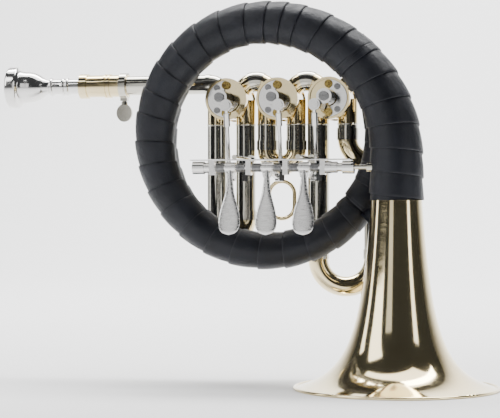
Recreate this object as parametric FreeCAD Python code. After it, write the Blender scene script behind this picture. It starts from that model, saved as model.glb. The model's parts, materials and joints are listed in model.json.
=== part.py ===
"""Small valved hunting horn: a leather-wrapped double coil, three rotary valves, lever
mechanism, three tuning slides, a telescoping mouthpipe and a mouthpiece.

Millimetres. +Z is up along the bell axis, the mouthpiece lies towards -X and the player's
finger levers face -Y. The origin is the centre of the bell's mouth, on the plane that the
horn stands on.
"""
import FreeCAD, Part
import math
import os

Vec = FreeCAD.Vector
X_AXIS = Vec(1, 0, 0)
Y_AXIS = Vec(0, 1, 0)
Z_AXIS = Vec(0, 0, 1)

# ---------------------------------------------------------------- clearances
running_fit = 0.05        # radial gap between a shaft or slide and its bore
seat_gap = 0.02           # radial gap where one fixed piece sits in another
body_gap = 0.4            # space kept between pieces that move past each other

# ---------------------------------------------------------------- bell
bell_mouth_radius = 66.0
bell_throat_radius = 16.3
bell_throat_height = 120.5
bell_flare_offset = 9.0
bell_wall = 0.7
rim_wire_radius = 1.1
rim_land_depth = 0.2
tail_height = 148.9       # where the bell joins the coil
tail_radius = 15.1

# ---------------------------------------------------------------- coil
coil_centre_x = -87.3
coil_centre_z = 162.0
coil_radius = 74.5
tube_wall = 0.6
exit_tube_radius = 6.2
top_tube_radius = 11.9
coil_start_turn = -25.0   # degrees clockwise from three o'clock
coil_join_turn = 360.0
coil_top_turn = 630.0
crossing_depth = 27.8     # Y of the second turn where it passes behind the bell tail
top_depth = 2.0           # Y of the second turn at twelve o'clock
coil_gap = 0.4
section_step = 10.0
coil_lean_power = 1.35    # how soon the second turn comes forward after the crossing

# ---------------------------------------------------------------- leather
leather_wall = 2.2
leather_collar_wall = 1.3
leather_gap = 0.08        # between a tube and the leather round it
bundle_start_turn = 38.0
bundle_end_turn = 322.0
crossing_wrap_end_turn = 396.0
back_wrap_start_turn = -16.0
wrap_gap = 1.2            # degrees left between neighbouring wraps
bundle_strip_count = 8    # lengths of leather that make up the bundle's wrap
strip_gap = 0.05          # degrees between those lengths

# ---------------------------------------------------------------- valves
valve_count = 3
valve_pitch = 35.1
first_valve_x = -120.1
valve_z = 189.0
port_depth = 54.6         # Y of all the valve tubing
casing_radius = 13.0
casing_front = 40.6
casing_back = 68.6
rim_radius = 14.2
rim_front = 36.4
rim_overlap = 1.2         # how far the front rim runs back over the casing
rotor_radius = 10.5
rotor_front = 40.9
rotor_back = 65.9
spindle_radius = 3.0
spindle_front = 20.0
port_radius = 4.8
port_lead = 5.0           # how far a tube runs into a casing before it is trimmed
bearing_plate_thickness = 2.4
bearing_plate_radius = 12.8
rear_cap_radius = 13.8
rear_cap_thickness = 2.6
rear_spigot_depth = 2.2
stop_plate_thickness = 1.9
stop_plate_radius = 12.4
plate_screw_radius = 2.1
plate_screw_reach = 9.6
plate_screw_angle = 52.0
plate_screw_head = 1.0
plate_screw_slot = (0.5, 0.6)     # depth and width
cork_radius = 2.7
cork_reach = 9.4
cork_length = 2.6

# ---------------------------------------------------------------- stop arm and link
arm_reach = 8.0
arm_angle = -45.0         # rest angle of the arm below horizontal
arm_swing = 90.0
hub_radius = 5.1
hub_front = 17.0
hub_back = 36.0
arm_thickness = 2.8
arm_eye_radius = 3.4
arm_screw_radius = 3.2
arm_screw_length = 2.0
arm_screw_slot = (0.9, 0.9)    # depth and width
stop_sector_radius = 9.3
stop_sector_half_angle = 27.0
stop_sector_thickness = 2.2
link_eye_radius = 3.9
link_eye_thickness = 2.2
link_screw_radius = 2.8
link_screw_length = 1.2
link_screw_slot = (0.6, 0.7)
link_rod_radius = 1.3
link_sleeve_radius = 2.1
link_sleeve_length = 8.6
link_sleeve_drop = 1.6     # below the eye's rim
link_foot_radius = 2.7
link_foot_width = 2.2
link_pin_radius = 1.1

# ---------------------------------------------------------------- lever bank
rod_y = -6.2
rod_z = 141.7
rod_radius = 1.6
rod_end_depth = 3.0       # wall left closed at the far end of the knob and barrel
post_count = 4
first_post_x = -119.2
post_pitch = 24.25
post_width = 3.4
post_half_depth = 3.3
post_drop = 4.8
saddle_left = -133.0
saddle_right = -28.0
saddle_thickness = 0.9
saddle_height = 4.4       # underside of the plate above the rod
saddle_front_reach = 5.6  # plate edges in front of and behind the rod
saddle_back_reach = 7.2
lever_press = 22.0
lever_hub_width = 6.8
lever_hub_radius = 3.5
paddle_tilt = 9.0
paddle_length = 43.9
paddle_radius = 6.9
paddle_neck_radius = 2.0
paddle_neck_drop = 4.4
paddle_thickness = 1.6
rear_arm_thickness = 2.4
rear_arm_height = 3.6
rear_arm_straight = 6.5
spring_radius = 2.95
spring_wall = 0.9
spring_gap = 0.35
strut_radius = 1.6
strut_offsets = (14.6, 56.6)   # X of each strut from the first valve
strut_foot_radius = 3.0
strut_foot_length = 1.4
stud_radius = 1.7
stud_length = 13.0
stud_offset = 3.6
stud_gap = 0.4            # between a stud and the spring in front of it
knob_radius = 4.1
knob_length = 7.6
knob_collar_radius = 3.4
knob_collar_length = 3.6
barrel_radius = 4.2
barrel_length = 7.4
barrel_neck_radius = 2.8
barrel_neck_length = 3.4
barrel_ring_radius = 3.9
barrel_ring_length = 3.8
bracket_stud_radius = 1.5
bracket_foot_radius = 3.4
bracket_foot_length = 1.8

# ---------------------------------------------------------------- valve slides
port_spread = 10.0        # X of each slide leg from its valve
leg_radius = 5.75
leg_bore = 5.1
sleeve_radius = 6.7
third_sleeve_radius = 7.3
slide_ferrule_radius = 7.3
slide_ferrule_length = 6.4
first_bow_z = 107.5
second_bow_z = 155.0
third_bow_z = 81.3
first_leg_length = 40.0
second_leg_length = 19.0
third_leg_length = 40.0
third_return_x = -23.0
third_return_y = 62.0
s_bend_top_z = 163.0
s_bend_radius = 16.0
s_ferrule_length = 1.4
s_ferrule_gap = 0.3       # the bend curves inside this straight ring
pull_ring_width = 20.2
pull_ring_height = 28.0
pull_ring_wire = 1.35
pull_ring_neck = 3.2

# ---------------------------------------------------------------- leadpipe, mouthpipe, mouthpiece
pipe_radius = 6.55
pipe_bore = 5.6
pipe_bend_radius = 7.4
pipe_end_x = -210.5
arch_tube_radius = 6.3
arch_bore = 5.1
ferrule_radius = 7.1
ferrule_length = 3.0
arch_band_half_angle = 20.0
sleeve_start_x = -227.5
sleeve_end_x = -193.4
mouthpipe_radius = 7.6
mouthpipe_bead_radius = 8.6
mouthpipe_bead_length = 5.4
mouthpipe_ring_x = -209.8
mouthpipe_ring_length = 1.3
mouthpipe_ring_pitch = 2.9
mouthpipe_ring_rise = 0.7
socket_end_x = -212.0
clamp_length = 5.0
clamp_setback = 0.3        # from the end of the sleeve
clamp_radius = 8.9
clamp_lug_width = 5.0
clamp_lug_drop = 10.6     # underside of the screw lug below the pipe axis
clamp_slot = 1.2
thumb_neck_radius = 2.2
thumb_thread_radius = 1.5
thumb_neck_length = 2.2
thumb_pad_half_width = 5.5
thumb_pad_half_height = 6.2
thumb_pad_thickness = 2.2
mouthpiece_rim_x = -280.4
mouthpiece_rim_radius = 14.4
mouthpiece_rim_length = 8.3
cup_radius = 10.6
cup_end_x = -252.9
cup_depth = 15.0
cup_inner_radius = 8.8
throat_radius = 2.1
neck_radius = 4.85
bead_radius = 6.3
shank_radius = 5.2
shank_end_x = -212.6
stay_radius = 2.4
stay_foot_radius = 4.6
stay_foot_length = 1.6


# ================================================================ helpers
def cylinder(base, direction, length, radius):
    return Part.makeCylinder(radius, length, base, direction)


def pipe(base, direction, length, outer, bore):
    return cylinder(base, direction, length, outer).cut(cylinder(base, direction, length, bore))


def revolve_profile(points, base, axis):
    """Solid turned from (distance along axis, radius) points, starting and ending on the axis."""
    side = Z_AXIS if abs(axis.z) < 0.5 else X_AXIS
    corners = [base + axis * along + side * radius for along, radius in points]
    face = Part.Face(Part.makePolygon(corners + [corners[0]]))
    return face.revolve(base, axis, 360)


def bend(centre, plane_x, plane_y, bend_radius, start, end, tube_radius):
    """Solid torus piece about centre, from angle start to end in the plane given by two axes."""
    angle = math.radians(start)
    spoke = plane_x * math.cos(angle) + plane_y * math.sin(angle)
    travel = plane_y * math.cos(angle) - plane_x * math.sin(angle)
    ring = Part.Wire(Part.Circle(centre + spoke * bend_radius, travel, tube_radius).toShape())
    return Part.Face(ring).revolve(centre, plane_x.cross(plane_y), end - start)


def round_section(centre, spoke, radius):
    """Circle in the plane of spoke and Y, always started on the spoke."""
    circle = Part.Wire(Part.makeCircle(radius))
    turn = FreeCAD.Rotation(spoke, Y_AXIS, spoke.cross(Y_AXIS), "XYZ")
    circle.Placement = FreeCAD.Placement(centre, turn)
    return circle


def hull_wire(front, front_radius, back, back_radius, to_space):
    """Outline round two circles in a plane; to_space turns plane points into space points."""
    span = math.hypot(back[0] - front[0], back[1] - front[1])
    along = ((back[0] - front[0]) / span, (back[1] - front[1]) / span)
    lean = (front_radius - back_radius) / span
    rise = math.sqrt(1 - lean * lean)

    def on(centre, radius, side):
        x = along[0] * lean - side * along[1] * rise
        y = along[1] * lean + side * along[0] * rise
        return to_space(centre[0] + radius * x, centre[1] + radius * y)

    nose = to_space(front[0] - front_radius * along[0], front[1] - front_radius * along[1])
    tail = to_space(back[0] + back_radius * along[0], back[1] + back_radius * along[1])
    edges = [
        Part.Arc(on(front, front_radius, 1), nose, on(front, front_radius, -1)).toShape(),
        Part.makeLine(on(front, front_radius, -1), on(back, back_radius, -1)),
        Part.Arc(on(back, back_radius, -1), tail, on(back, back_radius, 1)).toShape(),
        Part.makeLine(on(back, back_radius, 1), on(front, front_radius, 1)),
    ]
    return Part.Wire(edges)


def save(name, *solids):
    shape = solids[0] if len(solids) == 1 else Part.makeCompound(list(solids))
    shape.exportStep("parts/%s.step" % name)
    box = shape.BoundBox
    print("%-24s solids %d  volume %9.1f  valid %s  x %.1f..%.1f  y %.1f..%.1f  z %.1f..%.1f" % (
        name, len(shape.Solids), shape.Volume, shape.isValid(),
        box.XMin, box.XMax, box.YMin, box.YMax, box.ZMin, box.ZMax))


# ================================================================ coil geometry
quarter_radius = -coil_centre_x            # the last bend ends on the bell axis
quarter_centre = Vec(coil_centre_x, 0, tail_height)
coil_top_radius = tail_height + quarter_radius - coil_centre_z


def blend(value):
    value = min(max(value, 0.0), 1.0)
    return value * value * (3 - 2 * value)


def coil_tube_radius(turn):
    share = (turn - coil_start_turn) / (coil_top_turn - coil_start_turn)
    return exit_tube_radius + (top_tube_radius - exit_tube_radius) * share


def second_turn_depth(turn):
    share = (turn - coil_join_turn) / (coil_top_turn - coil_join_turn)
    forward = 1 - (1 - min(max(share, 0.0), 1.0)) ** coil_lean_power
    return crossing_depth + (top_depth - crossing_depth) * forward


def first_turn_depth(turn):
    start_depth = (crossing_depth + coil_tube_radius(coil_join_turn) + exit_tube_radius
                   + 2 * leather_wall + 2 * body_gap)
    held = min(max(turn, 0.0), coil_top_turn - coil_join_turn)
    beside = (second_turn_depth(held + 360) + coil_tube_radius(held)
              + coil_tube_radius(held + 360) + coil_gap)
    if turn < 180:
        return start_depth + (beside - start_depth) * blend(turn / 45)
    return beside + (crossing_depth - beside) * blend((turn - 270) / 48)


def coil_depth(turn):
    return first_turn_depth(turn) if turn < coil_join_turn else second_turn_depth(turn)


def turn_spoke(turn):
    angle = math.radians(-turn)
    return Vec(math.cos(angle), 0, math.sin(angle))


def coil_reach(turn):
    """Distance of the tube from the coil centre; the second turn ends a little inside."""
    settle = blend((turn - coil_top_turn + 90) / 90)
    return coil_radius + (coil_top_radius - coil_radius) * settle


def coil_point(turn):
    spoke = turn_spoke(turn)
    reach = coil_reach(turn)
    return Vec(coil_centre_x + spoke.x * reach, coil_depth(turn), coil_centre_z + spoke.z * reach)


def coil_section(turn, grow):
    return round_section(coil_point(turn), turn_spoke(turn), coil_tube_radius(turn) + grow)


def quarter_section(angle, grow):
    """Section of the bend between the top of the coil and the bell, angle from three o'clock."""
    spoke = turn_spoke(-angle)
    share = 1 - angle / 90
    radius = top_tube_radius + (tail_radius - top_tube_radius) * share
    depth = top_depth * (1 - share) ** 2
    return round_section(quarter_centre + spoke * quarter_radius + Y_AXIS * depth, spoke, radius + grow)


def turns(first, last):
    count = max(2, math.ceil((last - first) / section_step) + 1)
    return [first + (last - first) * i / (count - 1) for i in range(count)]


def loft(sections):
    return Part.makeLoft(sections, True, False)


def hollow_loft(outer, inner):
    return loft(outer).cut(loft(inner))


# ================================================================ bell
wire_centre_radius = bell_mouth_radius - rim_wire_radius
wire_centre_height = rim_wire_radius - rim_land_depth
throat_rise = bell_throat_height - wire_centre_height
flare_power = math.log(wire_centre_radius / bell_throat_radius) / math.log(
    1 + throat_rise / bell_flare_offset)


def bell_radius(height):
    rise = height - wire_centre_height
    return wire_centre_radius * (1 + rise / bell_flare_offset) ** -flare_power


def bell_solid(grow, wall):
    """Flare from the rim to the throat, then the straight tail, as a sheet of the given wall."""
    steps = 12
    heights = [wire_centre_height + throat_rise * (i / steps) ** 2.2 for i in range(steps + 1)]
    outer = [Vec(bell_radius(h) + grow, 0, h) for h in heights]
    inner = []
    for height in heights:
        slope = -flare_power * bell_radius(height) / (height - wire_centre_height + bell_flare_offset)
        normal = math.hypot(1, slope)
        inner.append(Vec(bell_radius(height) - wall / normal, 0, height + wall * slope / normal))
    outer_curve = Part.BSplineCurve()
    outer_curve.interpolate(outer)
    inner_curve = Part.BSplineCurve()
    inner_curve.interpolate(inner)
    outer_top = Vec(tail_radius + grow, 0, tail_height)
    inner_top = Vec(tail_radius - wall, 0, tail_height)
    edges = [
        outer_curve.toShape(),
        Part.makeLine(outer[-1], outer_top),
        Part.makeLine(outer_top, inner_top),
        Part.makeLine(inner_top, inner[-1]),
        inner_curve.toShape(),
        Part.makeLine(inner[0], outer[0]),
    ]
    face = Part.Face(Part.Wire(Part.__sortEdges__(edges)))
    return face.revolve(Vec(0, 0, 0), Z_AXIS, 360)


rim_wire = Part.makeTorus(wire_centre_radius, rim_wire_radius, Vec(0, 0, wire_centre_height))
below_stand = Part.makeBox(400, 400, 20, Vec(-200, -200, -20))
rim_wire = rim_wire.cut(below_stand)
bell_sheet = bell_solid(0, bell_wall).cut(Part.makeTorus(
    wire_centre_radius, rim_wire_radius, Vec(0, 0, wire_centre_height))).cut(below_stand)

# ================================================================ coil tubes
first_turns = turns(coil_start_turn, coil_join_turn)
second_turns = turns(coil_join_turn, coil_top_turn)
quarter_angles = [75, 60, 45, 30, 15, 0]


def second_turn_sections(grow):
    return ([coil_section(turn, grow) for turn in second_turns]
            + [quarter_section(angle, grow) for angle in quarter_angles])


first_turn_tube = hollow_loft([coil_section(turn, 0) for turn in first_turns],
                              [coil_section(turn, -tube_wall) for turn in first_turns])
second_turn_tube = hollow_loft(second_turn_sections(0), second_turn_sections(-tube_wall))
first_turn_bore = loft([coil_section(turn, leather_gap) for turn in first_turns])
second_turn_bore = loft(second_turn_sections(leather_gap))
bell_tail_bore = Part.makeCone(bell_throat_radius + leather_gap, tail_radius + leather_gap,
                               tail_height - bell_throat_height, Vec(0, 0, bell_throat_height))

# ================================================================ leather wraps
def front_reach(turn):
    """Distance from the coil centre to the bend above the bell, in the plane of this turn."""
    if turn <= 270:
        return coil_reach(turn + 360)
    drop = coil_centre_z - tail_height
    lift = drop * turn_spoke(turn).z
    return -lift + math.sqrt(lift * lift + quarter_radius ** 2 - drop ** 2)


def front_share(turn):
    """How far along the bend above the bell this turn's plane cuts it, 0 at the top."""
    spoke = turn_spoke(turn)
    reach = front_reach(turn)
    height = coil_centre_z + spoke.z * reach - tail_height
    return 1 - math.degrees(math.atan2(height, spoke.x * reach)) / 90


def bundle_section(turn):
    spoke = turn_spoke(turn)
    if turn <= 270:
        front_radius = coil_tube_radius(turn + 360)
        front_y = second_turn_depth(turn + 360)
    else:
        share = front_share(turn)
        front_radius = top_tube_radius + (tail_radius - top_tube_radius) * share
        front_y = top_depth * (1 - share) ** 2
    centre = Vec(coil_centre_x, 0, coil_centre_z)

    def to_space(reach, depth):
        return centre + spoke * reach + Y_AXIS * depth

    return hull_wire((front_reach(turn), front_y), front_radius + leather_wall,
                     (coil_reach(turn), coil_depth(turn)), coil_tube_radius(turn) + leather_wall,
                     to_space)


bundle_pitch = (bundle_end_turn - bundle_start_turn) / bundle_strip_count


def bundle_strip(number):
    """One length of the leather round both turns, hollow where the tubes run."""
    start = bundle_start_turn + number * bundle_pitch
    end = start + bundle_pitch - (strip_gap if number < bundle_strip_count - 1 else 0)
    strip = loft([bundle_section(turn) for turn in turns(start, end)])
    return strip.cut(first_turn_bore).cut(second_turn_bore)


bundle_strips = [bundle_strip(number) for number in range(bundle_strip_count)]


def wrap_start_section(grow):
    """First section of the bell wrap, in the plane where the bundle's wrap ends."""
    turn = bundle_end_turn + wrap_gap
    spoke = turn_spoke(turn)
    share = front_share(turn)
    radius = top_tube_radius + (tail_radius - top_tube_radius) * share
    depth = top_depth * (1 - share) ** 2
    centre = Vec(coil_centre_x, depth, coil_centre_z) + spoke * front_reach(turn)
    return round_section(centre, spoke, radius + grow)


def bell_wrap_sections(grow, collar_grow):
    collar = Vec(0, 0, bell_throat_height)
    middle = Vec(0, 0, (tail_height + bell_throat_height) / 2)
    middle_radius = (tail_radius + bell_throat_radius) / 2 + (grow + collar_grow) / 2
    return ([wrap_start_section(grow)]
            + [quarter_section(angle, grow) for angle in (34, 22, 11, 0)]
            + [round_section(middle, X_AXIS, middle_radius)]
            + [round_section(collar, X_AXIS, bell_throat_radius + collar_grow)])


bell_wrap = loft(bell_wrap_sections(leather_wall, leather_collar_wall))
bell_wrap = bell_wrap.cut(second_turn_bore).cut(bell_tail_bore)

crossing_turns = turns(bundle_end_turn + wrap_gap, crossing_wrap_end_turn)
crossing_wrap = loft([coil_section(turn, leather_wall) for turn in crossing_turns])
crossing_wrap = crossing_wrap.cut(first_turn_bore).cut(second_turn_bore)
back_turns = turns(back_wrap_start_turn, bundle_start_turn - wrap_gap)
back_wrap = loft([coil_section(turn, leather_wall) for turn in back_turns])
back_wrap = back_wrap.cut(first_turn_bore).cut(second_turn_bore).cut(crossing_wrap)
back_wrap = max(back_wrap.Solids, key=lambda solid: solid.Volume)

# ================================================================ valves
valve_xs = [first_valve_x + valve_pitch * i for i in range(valve_count)]
mirror_side = [1, 1, -1]                    # the third valve's mechanism is left-handed


def along_y(x, z, front, back, radius):
    return cylinder(Vec(x, front, z), Y_AXIS, back - front, radius)


def valve_body(x):
    """Outside of a casing, used to trim the tubes that meet it."""
    return along_y(x, valve_z, casing_front, casing_back, casing_radius)


def valve_casing(x):
    plate_back = rim_front + bearing_plate_thickness + stop_plate_thickness
    shell = valve_body(x).fuse(along_y(x, valve_z, rim_front, casing_front + rim_overlap, rim_radius))
    shell = shell.cut(along_y(x, valve_z, plate_back, casing_back, rotor_radius + running_fit))
    shell = shell.cut(along_y(x, valve_z, rim_front, plate_back, bearing_plate_radius + seat_gap))
    for angle in (45, 135, 225, 315):
        out = Vec(math.cos(math.radians(angle)), 0, math.sin(math.radians(angle)))
        shell = shell.cut(cylinder(Vec(x, port_depth, valve_z), out, rim_radius, port_radius))
    return shell


def valve_rotor(x):
    rotor = along_y(x, valve_z, rotor_front, rotor_back, rotor_radius)
    for side in (1, -1):
        centre = Vec(x, port_depth, valve_z + side * rotor_radius * math.sqrt(2))
        rotor = rotor.cut(Part.makeTorus(rotor_radius, port_radius, centre, Y_AXIS))
    rotor = rotor.fuse(along_y(x, valve_z, spindle_front, rotor_front, spindle_radius))
    return rotor.fuse(along_y(x, valve_z, rotor_back, casing_back - body_gap, spindle_radius))


def rear_cap(x):
    disc = along_y(x, valve_z, casing_back, casing_back + rear_cap_thickness, rear_cap_radius)
    spigot = along_y(x, valve_z, casing_back - rear_spigot_depth, casing_back,
                     rotor_radius - seat_gap)
    socket = along_y(x, valve_z, casing_back - rear_spigot_depth, casing_back,
                     spindle_radius + running_fit)
    return disc.fuse(spigot).cut(socket)


def bearing_plate(x):
    front = rim_front + stop_plate_thickness
    plate = along_y(x, valve_z, front, front + bearing_plate_thickness, bearing_plate_radius)
    return plate.cut(along_y(x, valve_z, front, front + bearing_plate_thickness,
                             spindle_radius + running_fit))


def plate_screw_places(x, side):
    angle = math.radians(plate_screw_angle)
    across = -side * plate_screw_reach * math.cos(angle)
    up = plate_screw_reach * math.sin(angle)
    return [(x + across, valve_z + up), (x + across, valve_z - up)]


def stop_plate(x, side):
    """Half-moon plate on the side away from the stop arm, notched round the hub and corks."""
    plate = along_y(x, valve_z, rim_front, rim_front + stop_plate_thickness, stop_plate_radius)
    away = Part.makeBox(40, 40, 80, Vec(x - 1.0 if side > 0 else x + 1.0 - 40, 20, valve_z - 40))
    plate = plate.cut(away)
    plate = plate.cut(along_y(x, valve_z, 20, casing_back, hub_radius + body_gap))
    for z in (valve_z + cork_reach, valve_z - cork_reach):
        plate = plate.cut(along_y(x, z, 20, casing_back, cork_radius + seat_gap))
    for screw_x, screw_z in plate_screw_places(x, side):
        plate = plate.cut(along_y(screw_x, screw_z, rim_front - 1, casing_front,
                                  plate_screw_radius * 0.5 + seat_gap))
    return plate


def screw_slot(x, z, front, radius, depth, width):
    return Part.makeBox(2 * radius, depth, width, Vec(x - radius, front, z - width / 2))


def plate_screws(x, side):
    screws = []
    for screw_x, screw_z in plate_screw_places(x, side):
        head = along_y(screw_x, screw_z, rim_front - plate_screw_head, rim_front, plate_screw_radius)
        shank = along_y(screw_x, screw_z, rim_front, rim_front + stop_plate_thickness,
                        plate_screw_radius * 0.5)
        slot = screw_slot(screw_x, screw_z, rim_front - plate_screw_head, plate_screw_radius,
                          *plate_screw_slot)
        screws.append(head.fuse(shank).cut(slot))
    return screws


def corks(x):
    back = rim_front + stop_plate_thickness
    return [along_y(x, z, back - cork_length, back, cork_radius)
            for z in (valve_z + cork_reach, valve_z - cork_reach)]


# ================================================================ stop arms
def arm_end(x, side):
    angle = math.radians(arm_angle)
    return x + side * arm_reach * math.cos(angle), valve_z + arm_reach * math.sin(angle)


def bar_between(start, end, width_axis, width, height):
    """Straight bar of rectangular section from start to end."""
    run = end.sub(start)
    length = run.Length
    run.normalize()
    rise = run.cross(width_axis)
    corner = start - width_axis * (width / 2) - rise * (height / 2)
    corners = [corner, corner + width_axis * width, corner + width_axis * width + rise * height,
               corner + rise * height, corner]
    return Part.Face(Part.makePolygon(corners)).extrude(run * length)


def stop_arm(x, side):
    end_x, end_z = arm_end(x, side)
    hub = along_y(x, valve_z, hub_front, hub_back, hub_radius)
    eye = along_y(end_x, end_z, hub_front, hub_front + arm_thickness, arm_eye_radius)
    middle = hub_front + arm_thickness / 2
    bar = bar_between(Vec(x, middle, valve_z), Vec(end_x, middle, end_z), Y_AXIS,
                      arm_thickness, arm_eye_radius * 1.5)
    lean = math.radians(arm_angle if side > 0 else 180 - arm_angle)
    low = lean - math.radians(stop_sector_half_angle)
    high = lean + math.radians(stop_sector_half_angle)
    sector_front = rim_front - stop_sector_thickness
    reach = stop_sector_radius

    def rim_point(angle):
        return Vec(x + reach * math.cos(angle), sector_front, valve_z + reach * math.sin(angle))

    outline = Part.Wire([
        Part.makeLine(Vec(x, sector_front, valve_z), rim_point(low)),
        Part.Arc(rim_point(low), rim_point(lean), rim_point(high)).toShape(),
        Part.makeLine(rim_point(high), Vec(x, sector_front, valve_z)),
    ])
    sector = Part.Face(outline).extrude(Y_AXIS * (stop_sector_thickness - 0.4))
    arm = hub.fuse(bar).fuse(eye).fuse(sector)
    return arm.cut(along_y(x, valve_z, spindle_front, hub_back, spindle_radius + seat_gap))


def arm_screw(x):
    head = along_y(x, valve_z, hub_front - arm_screw_length, hub_front, arm_screw_radius)
    return head.cut(screw_slot(x, valve_z, hub_front - arm_screw_length, arm_screw_radius,
                               *arm_screw_slot))


# ================================================================ levers and links
post_xs = [first_post_x + post_pitch * i for i in range(post_count)]
lever_xs = [(post_xs[i] + post_xs[i + 1]) / 2 for i in range(valve_count)]
rear_reach = (arm_reach * math.sin(math.radians(arm_swing / 2))
              / math.sin(math.radians(lever_press / 2)))
link_foot_y = rod_y + rear_reach * math.cos(math.radians(lever_press / 2))
link_foot_z = rod_z - rear_reach * math.sin(math.radians(lever_press / 2))
link_bow = rear_reach * (1 - math.cos(math.radians(lever_press / 2)))  # the foot's depth change
link_eye_back = hub_front - arm_screw_length - body_gap - link_bow


def along_x(left, right, y, z, radius):
    return cylinder(Vec(left, y, z), X_AXIS, right - left, radius)


def foot_sides(i):
    """Left edge of the link's foot and of the lever's fork cheek beside it, and the pin ends."""
    link_x, _ = arm_end(valve_xs[i], mirror_side[i])
    inward = 1 if lever_xs[i] > link_x else -1
    cheek = link_x + inward * (link_foot_width / 2 + body_gap + rear_arm_thickness / 2)
    return link_x, inward, cheek


def lever(i):
    x = lever_xs[i]
    link_x, inward, cheek = foot_sides(i)
    half = lever_hub_width / 2
    hub = along_x(x - half, x + half, rod_y, rod_z, lever_hub_radius)
    lean = math.radians(paddle_tilt)
    down = Vec(0, -math.sin(lean), -math.cos(lean))
    front = Vec(0, -math.cos(lean), math.sin(lean))
    root = Vec(x, rod_y, rod_z) - front * (paddle_thickness / 2)

    def to_space(across, drop):
        return root + X_AXIS * across + down * drop

    outline = hull_wire((0, paddle_neck_drop), paddle_neck_radius,
                        (0, paddle_length - paddle_radius), paddle_radius, to_space)
    paddle = Part.Face(outline).extrude(front * paddle_thickness)
    droop = math.radians(-lever_press / 2)
    back = Vec(0, math.cos(droop), math.sin(droop))
    start = Vec(x, rod_y, rod_z)
    knee = start + back * rear_arm_straight
    end = Vec(cheek, link_foot_y, link_foot_z)
    straight = bar_between(start, knee, X_AXIS, rear_arm_thickness, rear_arm_height)
    slant_end = end - back * link_foot_radius * 1.6
    slant = bar_between(knee - back * (rear_arm_thickness / 2), slant_end, X_AXIS,
                        rear_arm_thickness, rear_arm_height)
    cheek_bar = bar_between(slant_end - back * (rear_arm_thickness / 3), end, X_AXIS,
                            rear_arm_thickness, rear_arm_height)
    eye = along_x(cheek - rear_arm_thickness / 2, cheek + rear_arm_thickness / 2,
                  link_foot_y, link_foot_z, link_foot_radius)
    far = link_x - inward * (link_foot_width / 2 + body_gap)
    pin = along_x(min(far, cheek), max(far, cheek), link_foot_y, link_foot_z, link_pin_radius)
    shape = hub.fuse([paddle, straight, slant, cheek_bar, eye, pin])
    return shape.cut(along_x(x - half, x + half, rod_y, rod_z, rod_radius + running_fit))


def link(i):
    link_x, link_z = arm_end(valve_xs[i], mirror_side[i])
    eye = along_y(link_x, link_z, link_eye_back - link_eye_thickness, link_eye_back, link_eye_radius)
    screw_front = link_eye_back - link_eye_thickness - link_screw_length
    screw = along_y(link_x, link_z, screw_front, screw_front + link_screw_length, link_screw_radius)
    screw = screw.cut(screw_slot(link_x, link_z, screw_front, link_screw_radius, *link_screw_slot))
    top = Vec(link_x, link_eye_back - link_eye_thickness / 2, link_z)
    foot = Vec(link_x, link_foot_y, link_foot_z)
    run = foot.sub(top)
    length = run.Length
    run.normalize()
    rod = cylinder(top, run, length, link_rod_radius)
    sleeve = cylinder(top + run * (link_eye_radius + link_sleeve_drop), run, link_sleeve_length,
                      link_sleeve_radius)
    foot_eye = along_x(link_x - link_foot_width / 2, link_x + link_foot_width / 2,
                       link_foot_y, link_foot_z, link_foot_radius)
    shape = eye.fuse([screw, rod, sleeve, foot_eye])
    return shape.cut(along_x(link_x - link_foot_width, link_x + link_foot_width,
                             link_foot_y, link_foot_z, link_pin_radius + running_fit))


# ================================================================ lever saddle
saddle_low = rod_z + saddle_height


def saddle():
    depth = saddle_front_reach + saddle_back_reach
    plate = Part.makeBox(saddle_right - saddle_left, depth, saddle_thickness,
                         Vec(saddle_left, rod_y - saddle_front_reach, saddle_low))
    shape = plate
    for x in post_xs:
        post = Part.makeBox(post_width, 2 * post_half_depth, post_drop + saddle_height, Vec(
            x - post_width / 2, rod_y - post_half_depth, rod_z - post_drop))
        shape = shape.fuse(post)
    return shape.cut(along_x(saddle_left, saddle_right, rod_y, rod_z, rod_radius + seat_gap))


def struts():
    """Two stays from the saddle plate to fixed slide sleeves, each with a foot on the sleeve."""
    shapes = []
    for offset, sleeve_x, radius in (
            (strut_offsets[0], valve_xs[0] + port_spread, sleeve_radius),
            (strut_offsets[1], valve_xs[2] - port_spread, third_sleeve_radius)):
        x = first_valve_x + offset
        z = saddle_low + saddle_thickness + strut_radius
        start = rod_y + post_half_depth
        bar = cylinder(Vec(x, start, z), Y_AXIS, port_depth - start, strut_radius)
        foot_start = port_depth - math.sqrt(radius ** 2 - (x - sleeve_x) ** 2) - strut_foot_length
        foot = cylinder(Vec(x, foot_start, z), Y_AXIS, port_depth - foot_start, strut_foot_radius)
        stay = bar.fuse(foot)
        sleeve_core = cylinder(Vec(sleeve_x, port_depth, z - 20), Z_AXIS, 40, radius + seat_gap)
        behind = Part.makeBox(40, 40, 40, Vec(x - 20, port_depth, z - 20))
        shapes.append(stay.cut(sleeve_core).cut(behind))
    return shapes


def stop_studs():
    y = rod_y + spring_radius + stud_gap + stud_radius
    return [cylinder(Vec(x - stud_offset, y, saddle_low), -Z_AXIS, stud_length, stud_radius)
            for x in post_xs[1:]]


def springs():
    half_hub = lever_hub_width / 2
    half_post = post_width / 2
    coils = []
    for i in range(valve_count):
        for start, end in ((post_xs[i] + half_post, lever_xs[i] - half_hub),
                           (lever_xs[i] + half_hub, post_xs[i + 1] - half_post)):
            coils.append(pipe(Vec(start + spring_gap, rod_y, rod_z), X_AXIS,
                              end - start - 2 * spring_gap, spring_radius,
                              spring_radius - spring_wall))
    return coils


knob_right = post_xs[0] - post_width / 2
collar_left = knob_right - knob_collar_length
knob_left = collar_left - knob_length
ring_left = post_xs[-1] + post_width / 2
neck_left = ring_left + barrel_ring_length * 2
barrel_left = neck_left + barrel_neck_length
barrel_right = barrel_left + barrel_length
rod_left = knob_left + rod_end_depth
rod_right = barrel_right - rod_end_depth


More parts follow.
